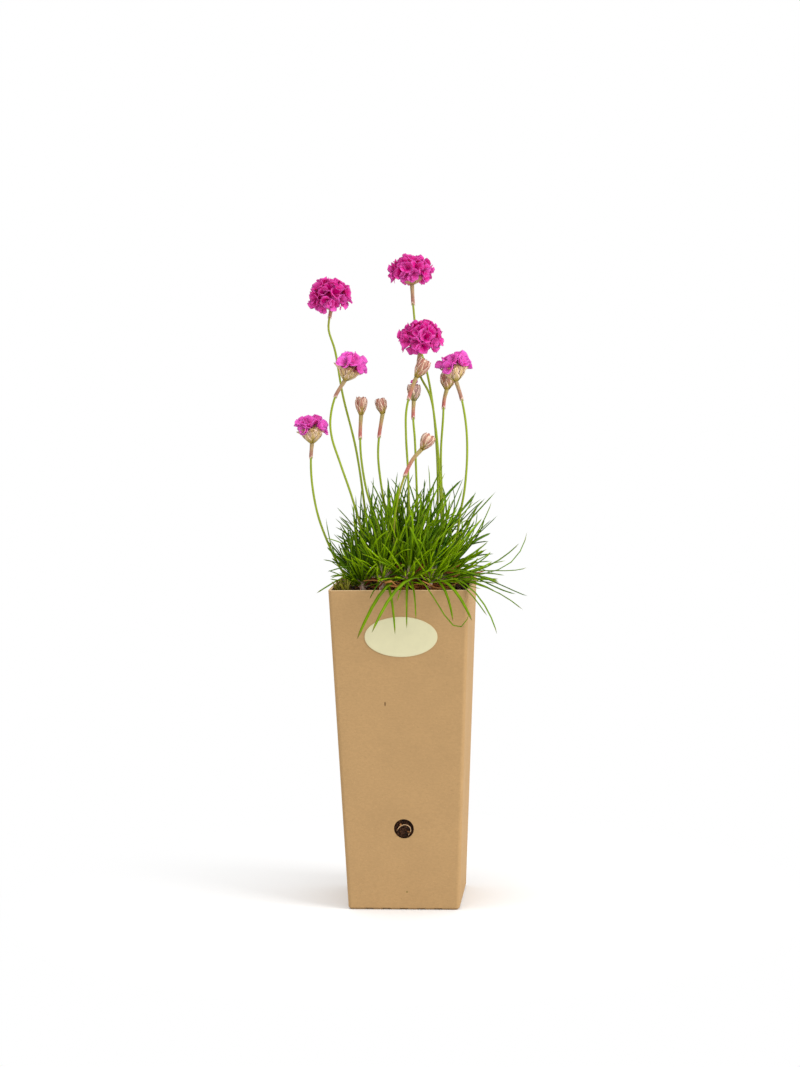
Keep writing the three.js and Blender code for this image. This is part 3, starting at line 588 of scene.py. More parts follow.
def all_leaves(fine_rounds):
    """The leaves of the solids, grown by the same draws, then finer leaves in the room that is left."""
    crowns = crowns_of_rosettes()
    stalks = []
    for flower in FLOWERS.values():
        line = MiddleLine(flower[4])
        count = round_half_up(line.length / LEAF_SAMPLE_STEP)
        stalks.append(line.point(np.arange(count + 1) / count))
    stalks = np.concatenate(stalks)
    grown = new_bed(SAMPLES_AT_MOST)
    draw = SeededDraw(LEAF_SEED)
    main = [reaching_leaf(crowns, *reach) for reach in REACHING_LEAVES]
    for leaf in main:
        keep_grown(grown, leaf_samples(leaf), leaf["rosette"])
    main += grow_leaves(crowns, stalks, LEAVES_PER_ROSETTE, draw, grown, APART, LEAF_LENGTHS)
    free = [{**crown, "in_front": False} for crown in crowns]
    draw = SeededDraw(SEEDS["fine"])
    fine = grow_leaves(
        free, stalks, fine_rounds, draw, grown, APART_FINE, FINE_LEAF_LENGTHS, HOOK_OF_FINER_LEAVES)
    main = [{**leaf, "hook": seeded_hook(draw, HOOK_OF_GROWN_LEAVES)} for leaf in main]
    return crowns, stalks, main + [stray_leaf(crowns, *stray) for stray in STRAY_LEAVES], fine


LEAF_SECTION = np.array([(-1, 0), (0, 0.3), (1, 0), (0.55, 0.65), (0, 1), (-0.55, 0.65)])
LEAF_STATIONS = np.array([0, 0.06, 0.16, 0.3, 0.45, 0.6, 0.74, 0.86, 0.95])
# How a leaf narrows: the share that the cube takes off, where the tip rounds off, the wider foot, and the
# depth left at the tip.
LEAF_TAPER, LEAF_TIP, LEAF_FOOT_WIDER, LEAF_FOOT_END, LEAF_TIP_DEPTH = 0.42, (0.8, 1.12), 0.7, 0.12, 0.4
LEAF_KEYS = ("root", "direction", "side", "length", "curl", "sway")
LEAF_WIDTH_DRAW, LEAF_WIDTH_LIMITS, LEAF_TONE_DRAW, LEAF_TWIST = 0.13, (0.6, 1.35), 0.24, 1.1


def add_blades(body, leaves, width, thickness, tones, twists, number):
    """Leaf blades: a six-point section, channelled above and keeled below, carried along each middle line.

    The half width falls by the cube of the way to the tip and rounds off at the end. The section turns about
    the middle line in step with the way. Width and tones are given for each leaf.
    """
    t = LEAF_STATIONS
    columns = {key: np.array([leaf[key] for leaf in leaves]) for key in LEAF_KEYS}
    root, direction, side = (columns[key] for key in LEAF_KEYS[:3])
    length, curl, sway = (columns[key][:, None, None] for key in LEAF_KEYS[3:])
    bend = curl * UP + sway * side[:, None]
    hook = np.array([leaf.get("hook", NO_HOOK) for leaf in leaves])
    way = t[None, :, None]
    middle = root[:, None] + length * (way * direction[:, None] + way * way * bend + way ** 4 * hook[:, None])
    tip = root + length[:, 0] * (direction + bend[:, 0] + hook)
    along = unit(direction[:, None] + 2 * way * bend + 4 * way ** 3 * hook[:, None])
    keel = unit(np.cross(side[:, None], along))
    across = np.cross(along, keel)
    turn = twists[:, None] * t
    cos, sin = np.cos(turn)[..., None], np.sin(turn)[..., None]
    across, keel = across * cos + keel * sin, keel * cos - across * sin
    taper = (1 - LEAF_TAPER * t ** 3) * np.sqrt(1 - smooth_step(*LEAF_TIP, t) ** 2)
    half = width[:, None] / 2 * taper * (1 + LEAF_FOOT_WIDER * smooth_step(LEAF_FOOT_END, 0.0, t))
    x = LEAF_SECTION[:, 0] * half[..., None]
    y = LEAF_SECTION[:, 1] * thickness * mix(LEAF_TIP_DEPTH, 1, taper)[None, :, None]
    rings = middle[:, :, None] + x[..., None] * across[:, :, None] + y[..., None] * keel[:, :, None]
    body.skins(rings, root, tip, number, along=t[None, :, None], across=np.abs(LEAF_SECTION[:, 0]),
               tone=tones[:, None, None])


def add_tube(body, line, shares, radii, columns, number=0, bulge=None, **values):
    """A round skin along a curve: one ring for each share of its length, each with a radius of its own."""
    centres, along = line.point(shares), line.tangent(shares)
    across, beside = turned_frames(along)
    angle = full_turn(columns)
    radius = np.asarray(radii)[:, None] * np.ones(columns)
    if bulge is not None:
        radius = radius * (1 + bulge(np.asarray(shares)[:, None], angle[None]))
    rings = centres[:, None] + radius[..., None] * outwards(angle, across[:, None], beside[:, None])
    body.skins(rings[None], centres[:1], centres[-1:], number,
               **{key: np.asarray(value, float)[None, :, None] for key, value in values.items()})


SHEET_COLUMNS = np.array([-1, -0.45, 0.45, 1, 0.45, -0.45])
SHEET_FACES = np.array([0, 1, 1, 0, -1, -1])
PETAL_STATIONS = np.array([0.0, 0.22, 0.48, 0.76, 0.94])
PETAL_CLAW, PETAL_FULLNESS, PETAL_TIP_END, PETAL_TIP_THIN = 0.2, 1.3, 1.25, 0.5


def add_petals(body, throats, axes, outs, length, width, bends, cups, tones, number=0, blunt=0.62,
               thickness=0.16):
    """Petals as thin closed sheets. Each leaves its throat near the floret's axis and leans out as it goes.

    The lean grows evenly from the first angle to the last, so the way along is the running sum of its cosine
    and the way out that of its sine. The half width follows a sine from a narrow claw to a broad blunt end,
    and the edges rise by the square of the way across.
    """
    u = np.append(PETAL_STATIONS, 1.0)
    lean = mix(bends[:, :1], bends[:, 1:], u)
    steps = np.diff(u, prepend=0.0)
    middle_lean = (lean + np.roll(lean, 1, axis=1)) / 2
    middle_lean[:, 0] = lean[:, 0]
    rise, reach = (
        np.cumsum(part(middle_lean) * steps, axis=1) * length[:, None] for part in (np.cos, np.sin))
    middle = throats[:, None] + rise[..., None] * axes[:, None] + reach[..., None] * outs[:, None]
    side = np.cross(axes, outs)
    normal = np.cos(lean)[..., None] * -outs[:, None] + np.sin(lean)[..., None] * axes[:, None]
    swell = np.sin(math.pi * 0.5 * np.minimum(1, PETAL_STATIONS / blunt)) ** PETAL_FULLNESS
    half = width[:, None] / 2 * mix(PETAL_CLAW, 1, swell)
    half = half * np.sqrt(1 - smooth_step(blunt, PETAL_TIP_END, PETAL_STATIONS) ** 2)
    lift = cups[:, None, None] * half[..., None] * (SHEET_COLUMNS ** 2 - 0.3)
    lift = lift + thickness / 2 * SHEET_FACES * (1 - PETAL_TIP_THIN * PETAL_STATIONS)[None, :, None]
    rings = (middle[:, :-1, None] + (half[..., None] * SHEET_COLUMNS)[..., None] * side[:, None, None]
             + lift[..., None] * normal[:, :-1, None])
    body.skins(rings, throats, middle[:, -1], number, along=PETAL_STATIONS[None, :, None],
               across=np.abs(SHEET_COLUMNS), tone=tones[:, None, None])


class Cup:
    """The outline of a flower's papery cup, and points on it by height and by angle round its axis."""

    OUTLINE_POINTS = 80

    def __init__(self, name):
        self.kind, self.sheath, facing, size, points = FLOWERS[name]
        self.line = MiddleLine(points)
        self.foot = np.array(points[-1], float)
        self.axis = unit(np.array(facing, float))
        self.across, self.beside = turned_frames(self.axis)
        sizes = CUPS[self.kind]
        self.width, self.length = size or (sizes["width"], sizes["length"])
        profile = [(0.0, SHEATH_TOP)]
        profile += [(height, share * self.width / 2) for height, share in sizes["profile"]]
        outline = MiddleLine([(radius, 0.0, height * self.length) for height, radius in profile])
        dense = outline.at(np.linspace(0, 1, self.OUTLINE_POINTS))
        self.heights, self.radii = dense[:, 2] / self.length, dense[:, 0]

    def radius(self, height):
        return np.interp(height, self.heights, self.radii)

    def away(self, angle):
        return outwards(np.asarray(angle, float), self.across, self.beside)

    def place(self, height, angle, off=0.0):
        """Points at a height in lengths of the cup and an angle, off the outline by a distance."""
        height = np.asarray(height, float)
        up = (height * self.length)[..., None] * self.axis
        return self.foot + up + (self.radius(height) + off)[..., None] * self.away(angle)


# The materials of the papery parts, by their number in the mesh.
SHEATH_LOOK, BRACT_LOOK = 0, 1
RIBS = {"full": 8, "half": 9, "bud": 6, "opening": 6}
RIB_RISE, RIB_DEPTH, POINTS_PER_RIB = 0.05, 0.05, 6
# The rings inside the bowl: shares of the rim's radius, and of the cup's length.
BOWL = ((0.9, 1.0), (0.72, 0.86), (0.4, 0.74))
BOWL_FLOOR, CUP_FOOT = 0.7, 0.2


def add_cup(body, cup, ribs):
    """The cup's wall and bowl in one skin: ribs stand out by a cosine of the angle, and lift the rim."""
    angle = full_turn(POINTS_PER_RIB * ribs)
    rib = np.cos(ribs * angle)
    rings, heights = [], list(np.linspace(0.02, 1, 11))
    for height in heights:
        risen = np.full_like(angle, height) + RIB_RISE * rib * smooth_step(0.6, 1, height)
        deep = cup.radius(height) * RIB_DEPTH * rib * smooth_step(0.05, 0.4, height)
        rings.append(cup.place(risen, angle, deep))
    for share, depth in BOWL:
        rings.append(cup.foot + depth * cup.length * cup.axis + share * cup.radius(1.0) * cup.away(angle))
        heights.append(depth)
    bowl = cup.foot + BOWL_FLOOR * cup.length * cup.axis
    body.skins(np.array(rings)[None], cup.foot[None] - CUP_FOOT * cup.axis, bowl[None], BRACT_LOOK,
               along=np.array(heights)[None, :, None], across=(1 - rib) / 2, tone=0.4)


SCALE_STATIONS = np.array([0.0, 0.2, 0.45, 0.68, 0.86, 0.96])
SCALE_THICKNESS, SCALE_MARGIN_THIN, SCALE_RISE = 0.22, 0.55, 0.25
SCALE_SIZE_DRAW, SCALE_TURN_DRAW, SCALE_OFF_DRAW = 0.16, 0.25, 0.12
# The scales on each kind of cup, row by row: how many, where they start and end up the cup, half the angle
# that each covers, how far it stands off, and how far its tip flares.
SCALES = {
    "full": ((9, 0.02, 0.95, 0.42, 0.2, 0.0), (9, 0.25, 1.25, 0.36, 0.05, 0.0)),
    "half": ((6, 0.0, 0.62, 0.55, 0.3, 0.0), (8, 0.12, 0.9, 0.4, 0.1, 0.0)),
    "bud": ((6, 0.15, 1.04, 0.5, -0.15, 0.3), (5, 0.0, 0.95, 0.62, 0.1, 0.5),
            (4, -0.03, 0.5, 0.6, 0.28, 0.0)),
}
SCALES["opening"] = SCALES["bud"]


def add_scales(body, cup, draw, count, low, high, spread, off, flare):
    """Overlapping papery scales that lie on the cup, broad at the foot and drawn out to a point.

    Each scale covers an angle that falls off by the cube of the way up, and stands off the cup a little more
    as it rises. Its margins are thinner than its middle.
    """
    u, v = SCALE_STATIONS, SHEET_COLUMNS
    outline = (1 - u ** 3) ** 0.8 * (0.72 + 0.28 * np.sin(math.pi * np.minimum(1, u / 0.7)))
    turn = draw.uniform(0, 6)
    for k in range(count):
        size = 1 + SCALE_SIZE_DRAW * (draw.random() - 0.5)
        middle = turn + 2 * math.pi * k / count + SCALE_TURN_DRAW * (draw.random() - 0.5)
        top = low + (high - low) * size
        height = mix(low, top, u)[:, None] + 0 * v
        angle = middle + (spread * size * outline)[:, None] * v
        stand = off + SCALE_RISE * u + flare * u ** 3 + SCALE_OFF_DRAW * (draw.random() - 0.5)
        thick = SCALE_THICKNESS * (1 - SCALE_MARGIN_THIN * np.abs(v)) * SHEET_FACES / 2
        rings = cup.place(height, angle, stand[:, None] + thick + 0 * height)
        first, last = cup.place([low], [middle], off), cup.place([top], [middle], stand[-1:] + 0.02)
        body.skins(rings[None], first, last, BRACT_LOOK, along=u[None, :, None], across=np.abs(v),
                   tone=draw.random())


FUNNEL_STATIONS = np.array([0.0, 0.4, 0.75, 1.0])
FUNNEL_FOLDS, FUNNEL_FOLD_DEPTH, FUNNEL_EDGE, FUNNEL_FOOT, FUNNEL_SUNK = 5, 0.16, 0.09, 0.22, 0.62
# The two rings of funnels on a half-open cup: how many, their height, their lean, and how far out they stand.
FUNNEL_RINGS = ((12, 0.36, 0.66, 0.5), (8, 0.46, 0.36, 0.25))


def add_funnels(body, cup, draw):
    """Pleated papery funnels round the rim of a half-open cup, in two rings that lean outwards.

    Each widens along its axis in five folds, with an edge that rises on each fold, and is open at the mouth
    down to a sunk pole.
    """
    groups = []
    for count, height, lean, reach in FUNNEL_RINGS:
        away = cup.away(2 * math.pi * (np.arange(count) + draw.uniform(0, 1)) / count
                        + 0.12 * draw.normal(size=count))
        feet = cup.foot + height * cup.length * cup.axis + reach * cup.width / 2 * away
        axes = unit(cup.axis + math.tan(lean) * away + 0.1 * draw.normal(size=(count, 3)))
        groups.append((feet, axes, draw.uniform(6.2, 7.6, count), draw.uniform(1.5, 1.9, count)))
    feet, axes, lengths, mouths = (np.concatenate(group) for group in zip(*groups))
    tones = draw.uniform(0, 1, len(feet))
    angle = full_turn(2 * FUNNEL_FOLDS)
    fold = np.cos(FUNNEL_FOLDS * angle)
    across, beside = turned_frames(axes)
    radius = mouths[:, None] * mix(FUNNEL_FOOT, 1, FUNNEL_STATIONS ** 1.3)
    reach = radius[..., None] * mix(1.0, 1 + FUNNEL_FOLD_DEPTH * fold, FUNNEL_STATIONS[:, None])[None]
    centres = feet[:, None] + (lengths[:, None] * FUNNEL_STATIONS)[..., None] * axes[:, None]
    edge = FUNNEL_EDGE * lengths[:, None, None] * fold * (FUNNEL_STATIONS ** 4)[None, :, None]
    rings = (centres[:, :, None] + edge[..., None] * axes[:, None, None]
             + reach[..., None] * outwards(angle, across[:, None, None], beside[:, None, None]))
    body.skins(rings, feet, feet + (FUNNEL_SUNK * lengths)[:, None] * axes, BRACT_LOOK,
               along=mix(0.25, 1, FUNNEL_STATIONS)[None, :, None], across=(1 - fold) / 2,
               tone=tones[:, None, None])


def head_directions(count, reach):
    """Directions of a sunflower spiral over a dome: even steps of height, and the golden angle round it."""
    k = np.arange(count)
    height = 1 - (1 - math.cos(reach)) * (k + 0.5) / count
    ring = np.sqrt(1 - height ** 2)
    angle = k * GOLDEN_ANGLE
    return np.stack([ring * np.cos(angle), ring * np.sin(angle), height], axis=1)


def to_head(cup, local):
    """Turns vectors from a head's own frame, with its axis up, to the frame of the model."""
    turn = Vector(UP).rotation_difference(Vector(cup.axis)).to_matrix()
    return np.asarray(local) @ np.array(turn).T


PETALS = 5
# The florets of each kind of head: how many, the draw of their tilt, the depth of their throats as a share of
# the dome, the petals' length and width in petal sizes, their first and last lean, and the tone at the top.
HEADS = {
    "full": {"florets": 30, "tilt": 0.3, "throat": 0.58, "length": 1.36, "width": 1.12, "bends": (0.25, 1.0),
             "tone": 0.08},
    "half": {"florets": 9, "tilt": 0.2, "throat": 0.42, "length": 1.5, "width": 1.25, "bends": (0.2, 0.75),
             "tone": 0.45},
    "opening": {"florets": 4, "tilt": 0.3, "throat": 0.3, "length": 0.62, "width": 0.5, "bends": (0.1, 0.8),
                "tone": 0.3},
}


def head_petals(name, petal_size, draw):
    """Throats, axes, outward directions and sizes for the petals of one head, five to a floret.

    The florets stand on a sunflower spiral over the dome. Each axis is the floret's direction with a small
    seeded tilt, and each petal leaves the axis at a fifth of a turn from the last.
    """
    cup = Cup(name)
    dome, kind = DOMES[cup.kind], HEADS[cup.kind]
    count = kind["florets"]
    local = head_directions(count, dome["reach"])
    centre = cup.foot + dome["rise"] * cup.length * cup.axis
    flat = local * (1, 1, dome["squash"] * FLATTER_HEADS.get(name, 1.0))
    axes = unit(to_head(cup, local + kind["tilt"] * draw.normal(size=(count, 3)) * 0.5))
    depth = dome["dome"] * (kind["throat"] + 0.05 * draw.normal(size=count))
    throats = centre + depth[:, None] * to_head(cup, flat)
    across, beside = turned_frames(axes)
    angle = (draw.uniform(0, 2 * math.pi, count)[:, None] + full_turn(PETALS)
             + 0.2 * draw.normal(size=(count, PETALS)))
    outs = outwards(angle, across[:, None], beside[:, None]).reshape(-1, 3)
    axes, throats = (np.repeat(group, PETALS, axis=0) for group in (axes, throats))
    n = count * PETALS
    low = np.repeat(1 - local[:, 2], PETALS) / (1 - math.cos(dome["reach"]))
    length, width = (
        kind[key] * petal_size / MM * (1 + 0.13 * draw.normal(size=n)) for key in ("length", "width"))
    first = kind["bends"][0] + 0.1 * draw.normal(size=n)
    last = kind["bends"][1] + 0.25 * draw.normal(size=n) + 0.3 * low
    cups = 0.3 + 0.25 * draw.normal(size=n)
    tones = np.clip(kind["tone"] + 0.5 * low + 0.12 * draw.normal(size=n), 0, 1)
    return cup, centre, throats, axes, outs, length, width, np.stack([first, last], axis=1), cups, tones


# The dense middle of a full head: its share of the dome, its bumps, and the scale and seed of their waves.
CORE_SHARE, CORE_BUMPS, CORE_WAVES, CORE_SEED, CORE_RINGS, CORE_COLUMNS = 0.6, 0.09, 6, 5, 14, 28


def add_core(body, cup, centre, radius, squash):
    """The dense middle of a head: a flattened ball with bumps that follow seeded waves."""
    local = ball(CORE_RINGS, CORE_COLUMNS)
    reach = radius * (1 + CORE_BUMPS * waves(local * CORE_WAVES, 1.0, CORE_SEED))[..., None]
    rings = centre + to_head(cup, (reach * local * (1, 1, squash)).reshape(-1, 3)).reshape(local.shape)
    ends = [centre[None] + side * radius * squash * cup.axis for side in (1, -1)]
    body.skins(rings[None], *ends, along=0.05, across=0.3, tone=0.1)


SHEATH_RINGS, SHEATH_COLUMNS, SHEATH_FOLDS, SHEATH_TEETH, SHEATH_FLARE = 14, 26, 13, 1.3, 0.12


def add_sheath(body, cup):
    """The papery tube round the top of a stalk: fine folds lengthwise, and a ragged end off the stalk.

    The radius grows from the lower end to the cup. Folds follow a cosine of the angle, and the lower end's
    teeth shift the first rings along the stalk by another.
    """
    angle = full_turn(SHEATH_COLUMNS)
    length = cup.line.length
    start = 1 - cup.sheath / length
    shares = np.linspace(0, 1, SHEATH_RINGS)
    ragged = 0.55 * np.sin(2 * angle + cup.length) + 0.45 * np.sin(7 * angle + cup.sheath)
    teeth = (1 - smooth_step(0.0, 0.3, shares))[:, None] * ragged * SHEATH_TEETH / length
    u = np.minimum(mix(start, 1.0, shares)[:, None] + teeth, 1.0)
    centres, along = (part(u.ravel()).reshape(*u.shape, 3) for part in (cup.line.point, cup.line.tangent))
    across, beside = turned_frames(along)
    folds = 1 + 0.07 * np.cos(SHEATH_FOLDS * angle + 3 * shares[:, None])
    flare = (1 - smooth_step(0.0, 0.2, shares))[:, None] * (1 + 0.6 * np.sin(3 * angle))
    radius = mix(SHEATH_BOTTOM, SHEATH_TOP, shares)[:, None] * folds + SHEATH_FLARE * flare
    rings = centres + radius[..., None] * outwards(angle, across, beside)
    ends = cup.line.point(start + 1.5 / length), cup.foot[None] + 0.6 * cup.axis
    body.skins(rings[None], *ends, SHEATH_LOOK, along=shares[None, :, None],
               across=0.5 + 0.5 * np.cos(SHEATH_FOLDS * angle), tone=0.5)


def blade_looks(leaves, draw, width):
    """Widths, shades and turns of leaves. Painted light: lighter to the front, darker when upright."""
    n = len(leaves)
    back = np.array([leaf["root"][1] + 0.6 * leaf["length"] * leaf["direction"][1] for leaf in leaves])
    up = np.array([leaf["direction"][2] for leaf in leaves])
    # Painted light and shade: leaves nearer the front are painted lighter, those at the back and upright ones
    # darker.
    painted_light_by_place = 0.4 - 0.014 * back - 0.6 * (up - 0.5)
    return (width * (1 + LEAF_WIDTH_DRAW * draw.normal(size=n)).clip(*LEAF_WIDTH_LIMITS),
            (painted_light_by_place + LEAF_TONE_DRAW * draw.normal(size=n)).clip(0, 1),
            draw.uniform(-LEAF_TWIST, LEAF_TWIST, n))


DRY_LEAF_WIDTH, DRY_LEAF_SAMPLES, WITHERED_TRIES, THATCH_TRIES = 1.7, 15, 20, 30
WITHERED_LENGTHS = (26.0, 26.0)


def dry_leaves(crowns, stalks, rosette, wanted, tries, make):
    """Leaves made one after another until enough of them keep off all but other leaves."""
    leaves = []
    for _ in range(tries * wanted):
        if len(leaves) == wanted:
            break
        leaf = {**make(), "rosette": rosette}
        samples = leaf_points(leaf, np.linspace(0, 1, DRY_LEAF_SAMPLES))
        if leaf_is_clear(samples, rosette, new_bed(0), stalks, crowns, APART_FINE):
            leaves.append(leaf)
    return leaves


def withered_leaves(crowns, stalks, draw, each):
    """Short dry leaves that spread low from the crowns, with more of them on the front crowns."""
    def make(crown):
        leaf = drawn_leaf({**crown, "in_front": False}, LEAVES_PER_ROSETTE - 1, draw, *WITHERED_LENGTHS)
        root = mix(crown["top"], crown["foot"], 0.15 + 0.3 * draw())
        return {**leaf, "root": root, "curl": -0.5 * draw(), "hook": seeded_hook(draw, 0.5)}

    leaves = []
    for rosette, crown in enumerate(crowns):
        wanted = 3 * each if crown["in_front"] else each
        leaves += dry_leaves(crowns, stalks, rosette, wanted, WITHERED_TRIES, lambda: make(crown))
    return leaves


def thatch(crowns, stalks, draw):
    """Fallen dry leaves that lie crosswise on the soil round the front crowns."""
    def make(crown):
        turn, reach = 2 * math.pi * draw(), 3.5 + 9 * draw()
        x, y = crown["foot"][:2] + (reach * math.cos(turn), reach * math.sin(turn))
        way = 2 * math.pi * draw()
        direction = unit(np.array((math.cos(way), 0.7 * math.sin(way), 0.5 * draw())))
        return {"root": np.array((x, y, soil_height(x, y) + 0.5 + 5 * draw())), "direction": direction,
                "side": unit(np.cross(UP, direction)), "length": 9 + 15 * draw(), "sway": draw() - 0.5,
                "curl": -0.4 * draw(), "hook": seeded_hook(draw, 0.3)}

    leaves = []
    for rosette, wanted in enumerate(THATCH_PER_ROSETTE):
        leaves += dry_leaves(crowns, stalks, rosette, wanted, THATCH_TRIES, lambda: make(crowns[rosette]))
    return leaves


def length_property(name, description, default, low, high):
    return FloatProperty(name=name, description=description, default=default, min=low, max=high, precision=5,
                         unit="LENGTH")


def count_property(name, description, default, high):
    return IntProperty(name=name, description=description, default=default, min=0, max=high,
                       subtype="UNSIGNED")


def colour_property(name, description, *screen):
    """A colour setting whose default is a screen colour from 0 to 255."""
    return FloatVectorProperty(name=name, description=description, subtype="COLOR", size=3, min=0.0, max=1.0,
                               default=srgb(*screen))


class ThriftSizes(bpy.types.PropertyGroup):
    """Sizes and numbers of the finer pieces."""

    leaf_width: length_property("Leaf Width", "Width of a grown leaf across its blade", 0.0018, 0.001, 0.0028)
    young_leaf_width: length_property(
        "Young Leaf Width", "Width of the finer leaves between the grown ones", 0.0013, 0.0008, 0.002)
    leaf_thickness: length_property("Leaf Thickness", "Depth of a leaf's keel", 0.0006, 0.0003, 0.001)
    young_rounds: count_property(
        "Young Leaves", "Rounds of finer leaves that are tried on every rosette", 40, 80)
    withered: count_property("Withered Leaves", "Dry leaves low on every rosette", 5, 12)
    stalk_radius: length_property("Stalk Radius", "Radius of a flower stalk", 0.00068, 0.0005, 0.001)
    petal_size: length_property(
        "Petal Size", "Length that the petals of every head are scaled from", 0.0048, 0.003, 0.006)
    crumbs: count_property("Crumbs", "Loose crumbs that lie on the soil", 420, 1200)


class ThriftColours(bpy.types.PropertyGroup):
    """Colours of the materials."""

    carton: colour_property("Carton", "Brown board of the pot", 172, 138, 94)
    sticker: colour_property("Sticker", "Paper of the oval sticker", 204, 198, 160)
    soil: colour_property("Soil", "Potting soil", 58, 36, 24)
    leaf: colour_property("Leaf", "Grown leaves", 34, 78, 0)
    young_leaf: colour_property("Young Leaf", "Fresh leaves", 138, 174, 0)
    stalk: colour_property("Stalk", "Flower stalks", 142, 160, 18)
    papery: colour_property("Papery Bracts", "Margins of the dry bracts and sheaths", 246, 218, 196)
    bract_stripe: colour_property("Bract Stripe", "Middle of each bract", 150, 56, 34)
    petal: colour_property("Petal", "Inner petals", 232, 0, 158)
    pale_petal: colour_property("Pale Petal", "Outer petals and petal edges", 255, 146, 240)


# Two small marks on the front board: place, half width and half height in millimetres, and colour.
BOARD_MARKS = ((-9.3, 129.7, 0.55, 1.5, (96, 70, 42)), (2.2, 11.4, 0.7, 0.6, (120, 104, 56)))


def carton_material(board):
    """Brown kraft board: fibres round the wall, dark and light flecks, and a paler cut edge at the rim."""
    s = Shader("kraft_board")
    dark, light = shade(board, 0.72), shade(board, 1.22)
    fibre = s.noise(1.0, 4, (0.5, 0.5, 0.9), 0.65)
    base = s.blend(s.band(fibre, 0.3, 0.7), shade(board, 0.95), shade(board, 1.05))
    base = s.coat(base, dark, s.band(s.noise(0.035, 2), 0.3, 0.75), 0.2)
    base = s.coat(base, dark, s.band(s.noise(1.1, 2, (1.0, 1.0, 1.3)), 0.64, 0.72), 0.55)
    base = s.coat(base, light, s.band(s.noise(1.3, 2, (1.1, 1.1, 0.9)), 0.64, 0.73), 0.6)
    x, y, z = s.node("SeparateXYZ", {0: s.place}).outputs
    pith = s.blend(s.noise(2.5), light, srgb(222, 194, 152))
    base = s.coat(base, pith, s.band(z, POT_HEIGHT - 0.5, POT_HEIGHT - 0.1))
    base = s.coat(base, dark, s.band(z, 1.6, 0.4), 0.5)
    front = s.band(y, -30, -33)
    for middle, height, half_width, half_height, paint in BOARD_MARKS:
        across = s.maths("DIVIDE", s.maths("SUBTRACT", x, middle), half_width)
        up = s.maths("DIVIDE", s.maths("SUBTRACT", z, height), half_height)
        away = s.maths("ADD", s.maths("MULTIPLY", across, across), s.maths("MULTIPLY", up, up))
        base = s.coat(base, srgb(*paint), s.maths("MULTIPLY", s.band(away, 1.2, 0.5), front), 0.85)
    return s.finish(base, 0.82, s.maths("ADD", fibre, s.noise(3.0)), 0.05, specular=0.22)


def sticker_material(paper):
    """Smooth cream paper with a faint cloud and a slightly darker cut edge."""
    s = Shader("cream_paper")
    base = s.blend(s.band(s.noise(0.2), 0.35, 0.7), paper, shade(paper, 0.97))
    base = s.coat(base, srgb(196, 180, 132), s.band(s.value("along"), 0.93, 1.0), 0.25)
    return s.finish(base, 0.42, s.noise(4.0, 2), 0.01, specular=0.4)


def soil_material(peat):
    """Dark peat: clumps in two sizes, threads of brown fibre and a few pale grains."""
    s = Shader("peat")
    clump = s.noise(0.6, 5, roughness=0.7)
    base = s.ramp(clump, (0.32, shade(peat, 0.35)), (0.52, peat), (0.72, srgb(104, 66, 40)))
    base = s.coat(base, srgb(140, 88, 50), s.band(s.noise(1.6, 2, (0.5, 1.4, 1.1)), 0.62, 0.7), 0.6)
    base = s.coat(base, srgb(170, 150, 120), s.band(s.cells(0.55), 0.16, 0.1), 0.35)
    return s.finish(base, 0.95, s.maths("ADD", clump, s.noise(3.0)), 0.5, specular=0.15)


def crumb_material():
    """Crumbs and bits of bark: each takes its shade from its own tone."""
    s = Shader("bark_crumbs")
    base = s.ramp(s.value("tone"), (0.0, srgb(34, 22, 16)), (0.5, srgb(72, 44, 28)), (0.8, srgb(112, 70, 40)),
                  (0.97, srgb(176, 120, 66)))
    base = s.coat(base, srgb(28, 18, 12), s.noise(2.0), 0.5)
    return s.finish(base, 0.9, s.noise(3.0), 0.2, specular=0.2)


def leaf_material(name, light, dark):
    """Green blade: shade from its tone, pale sheath at the root, light middle, and a dry tip on some."""
    s = Shader(name)
    along, across, tone = s.looks()
    # On the rosettes' blades the tone carries painted light and shade from the leaf's place.
    base = s.blend(s.band(tone, 0.15, 1.0), dark, light)
    base = s.coat(base, shade(light, 1.25), s.band(along, 0.35, 0.95), 0.35)
    base = s.coat(base, shade(dark, 0.6), s.band(s.noise(0.16), 0.35, 0.7), 0.35)
    base = s.coat(base, shade(light, 1.5), s.band(across, 0.35, 0.0), 0.3)
    sheath = s.blend(s.band(s.noise(0.5, 2), 0.35, 0.65), srgb(250, 230, 208), srgb(236, 176, 156))
    base = s.coat(base, sheath, s.band(along, 0.2, 0.05))
    base = s.coat(base, srgb(168, 128, 72), s.band(along, 0.93, 0.99), s.band(tone, 0.55, 0.8))
    return s.finish(base, 0.5, s.noise(1.0, 2, (2.0, 2.0, 0.3)), 0.05, sheer=0.14, specular=0.1)


def withered_material():
    """Dry leaf: from straw to reddish brown by its tone, in streaks."""
    s = Shader("withered_leaf")
    base = s.ramp(
        s.value("tone"), (0.0, srgb(120, 46, 26)), (0.5, srgb(172, 84, 44)), (1.0, srgb(214, 150, 80)))
    streak = s.noise(0.9, 3, (2.0, 2.0, 0.5))
    return s.finish(s.coat(base, srgb(84, 48, 34), streak, 0.6), 0.8, streak, 0.15, specular=0.2)


def stalk_material(name, low, high, top):
    """Flower stalk: one green below and another above, faint streaks, and a flush under the sheath."""
    s = Shader(name)
    base = s.ramp(s.value("along"), (0.0, low), (0.55, high), (0.9, high), (1.0, top))
    streak = s.noise(1.0, 3, (1.6, 1.6, 0.12))
    base = s.coat(base, shade(high, 0.62), s.band(streak, 0.35, 0.75), 0.4)
    base = s.coat(base, srgb(190, 200, 120), s.band(s.noise(1.4, 2), 0.64, 0.72), 0.3)
    return s.finish(base, 0.5, streak, 0.04, sheer=0.05, specular=0.35)


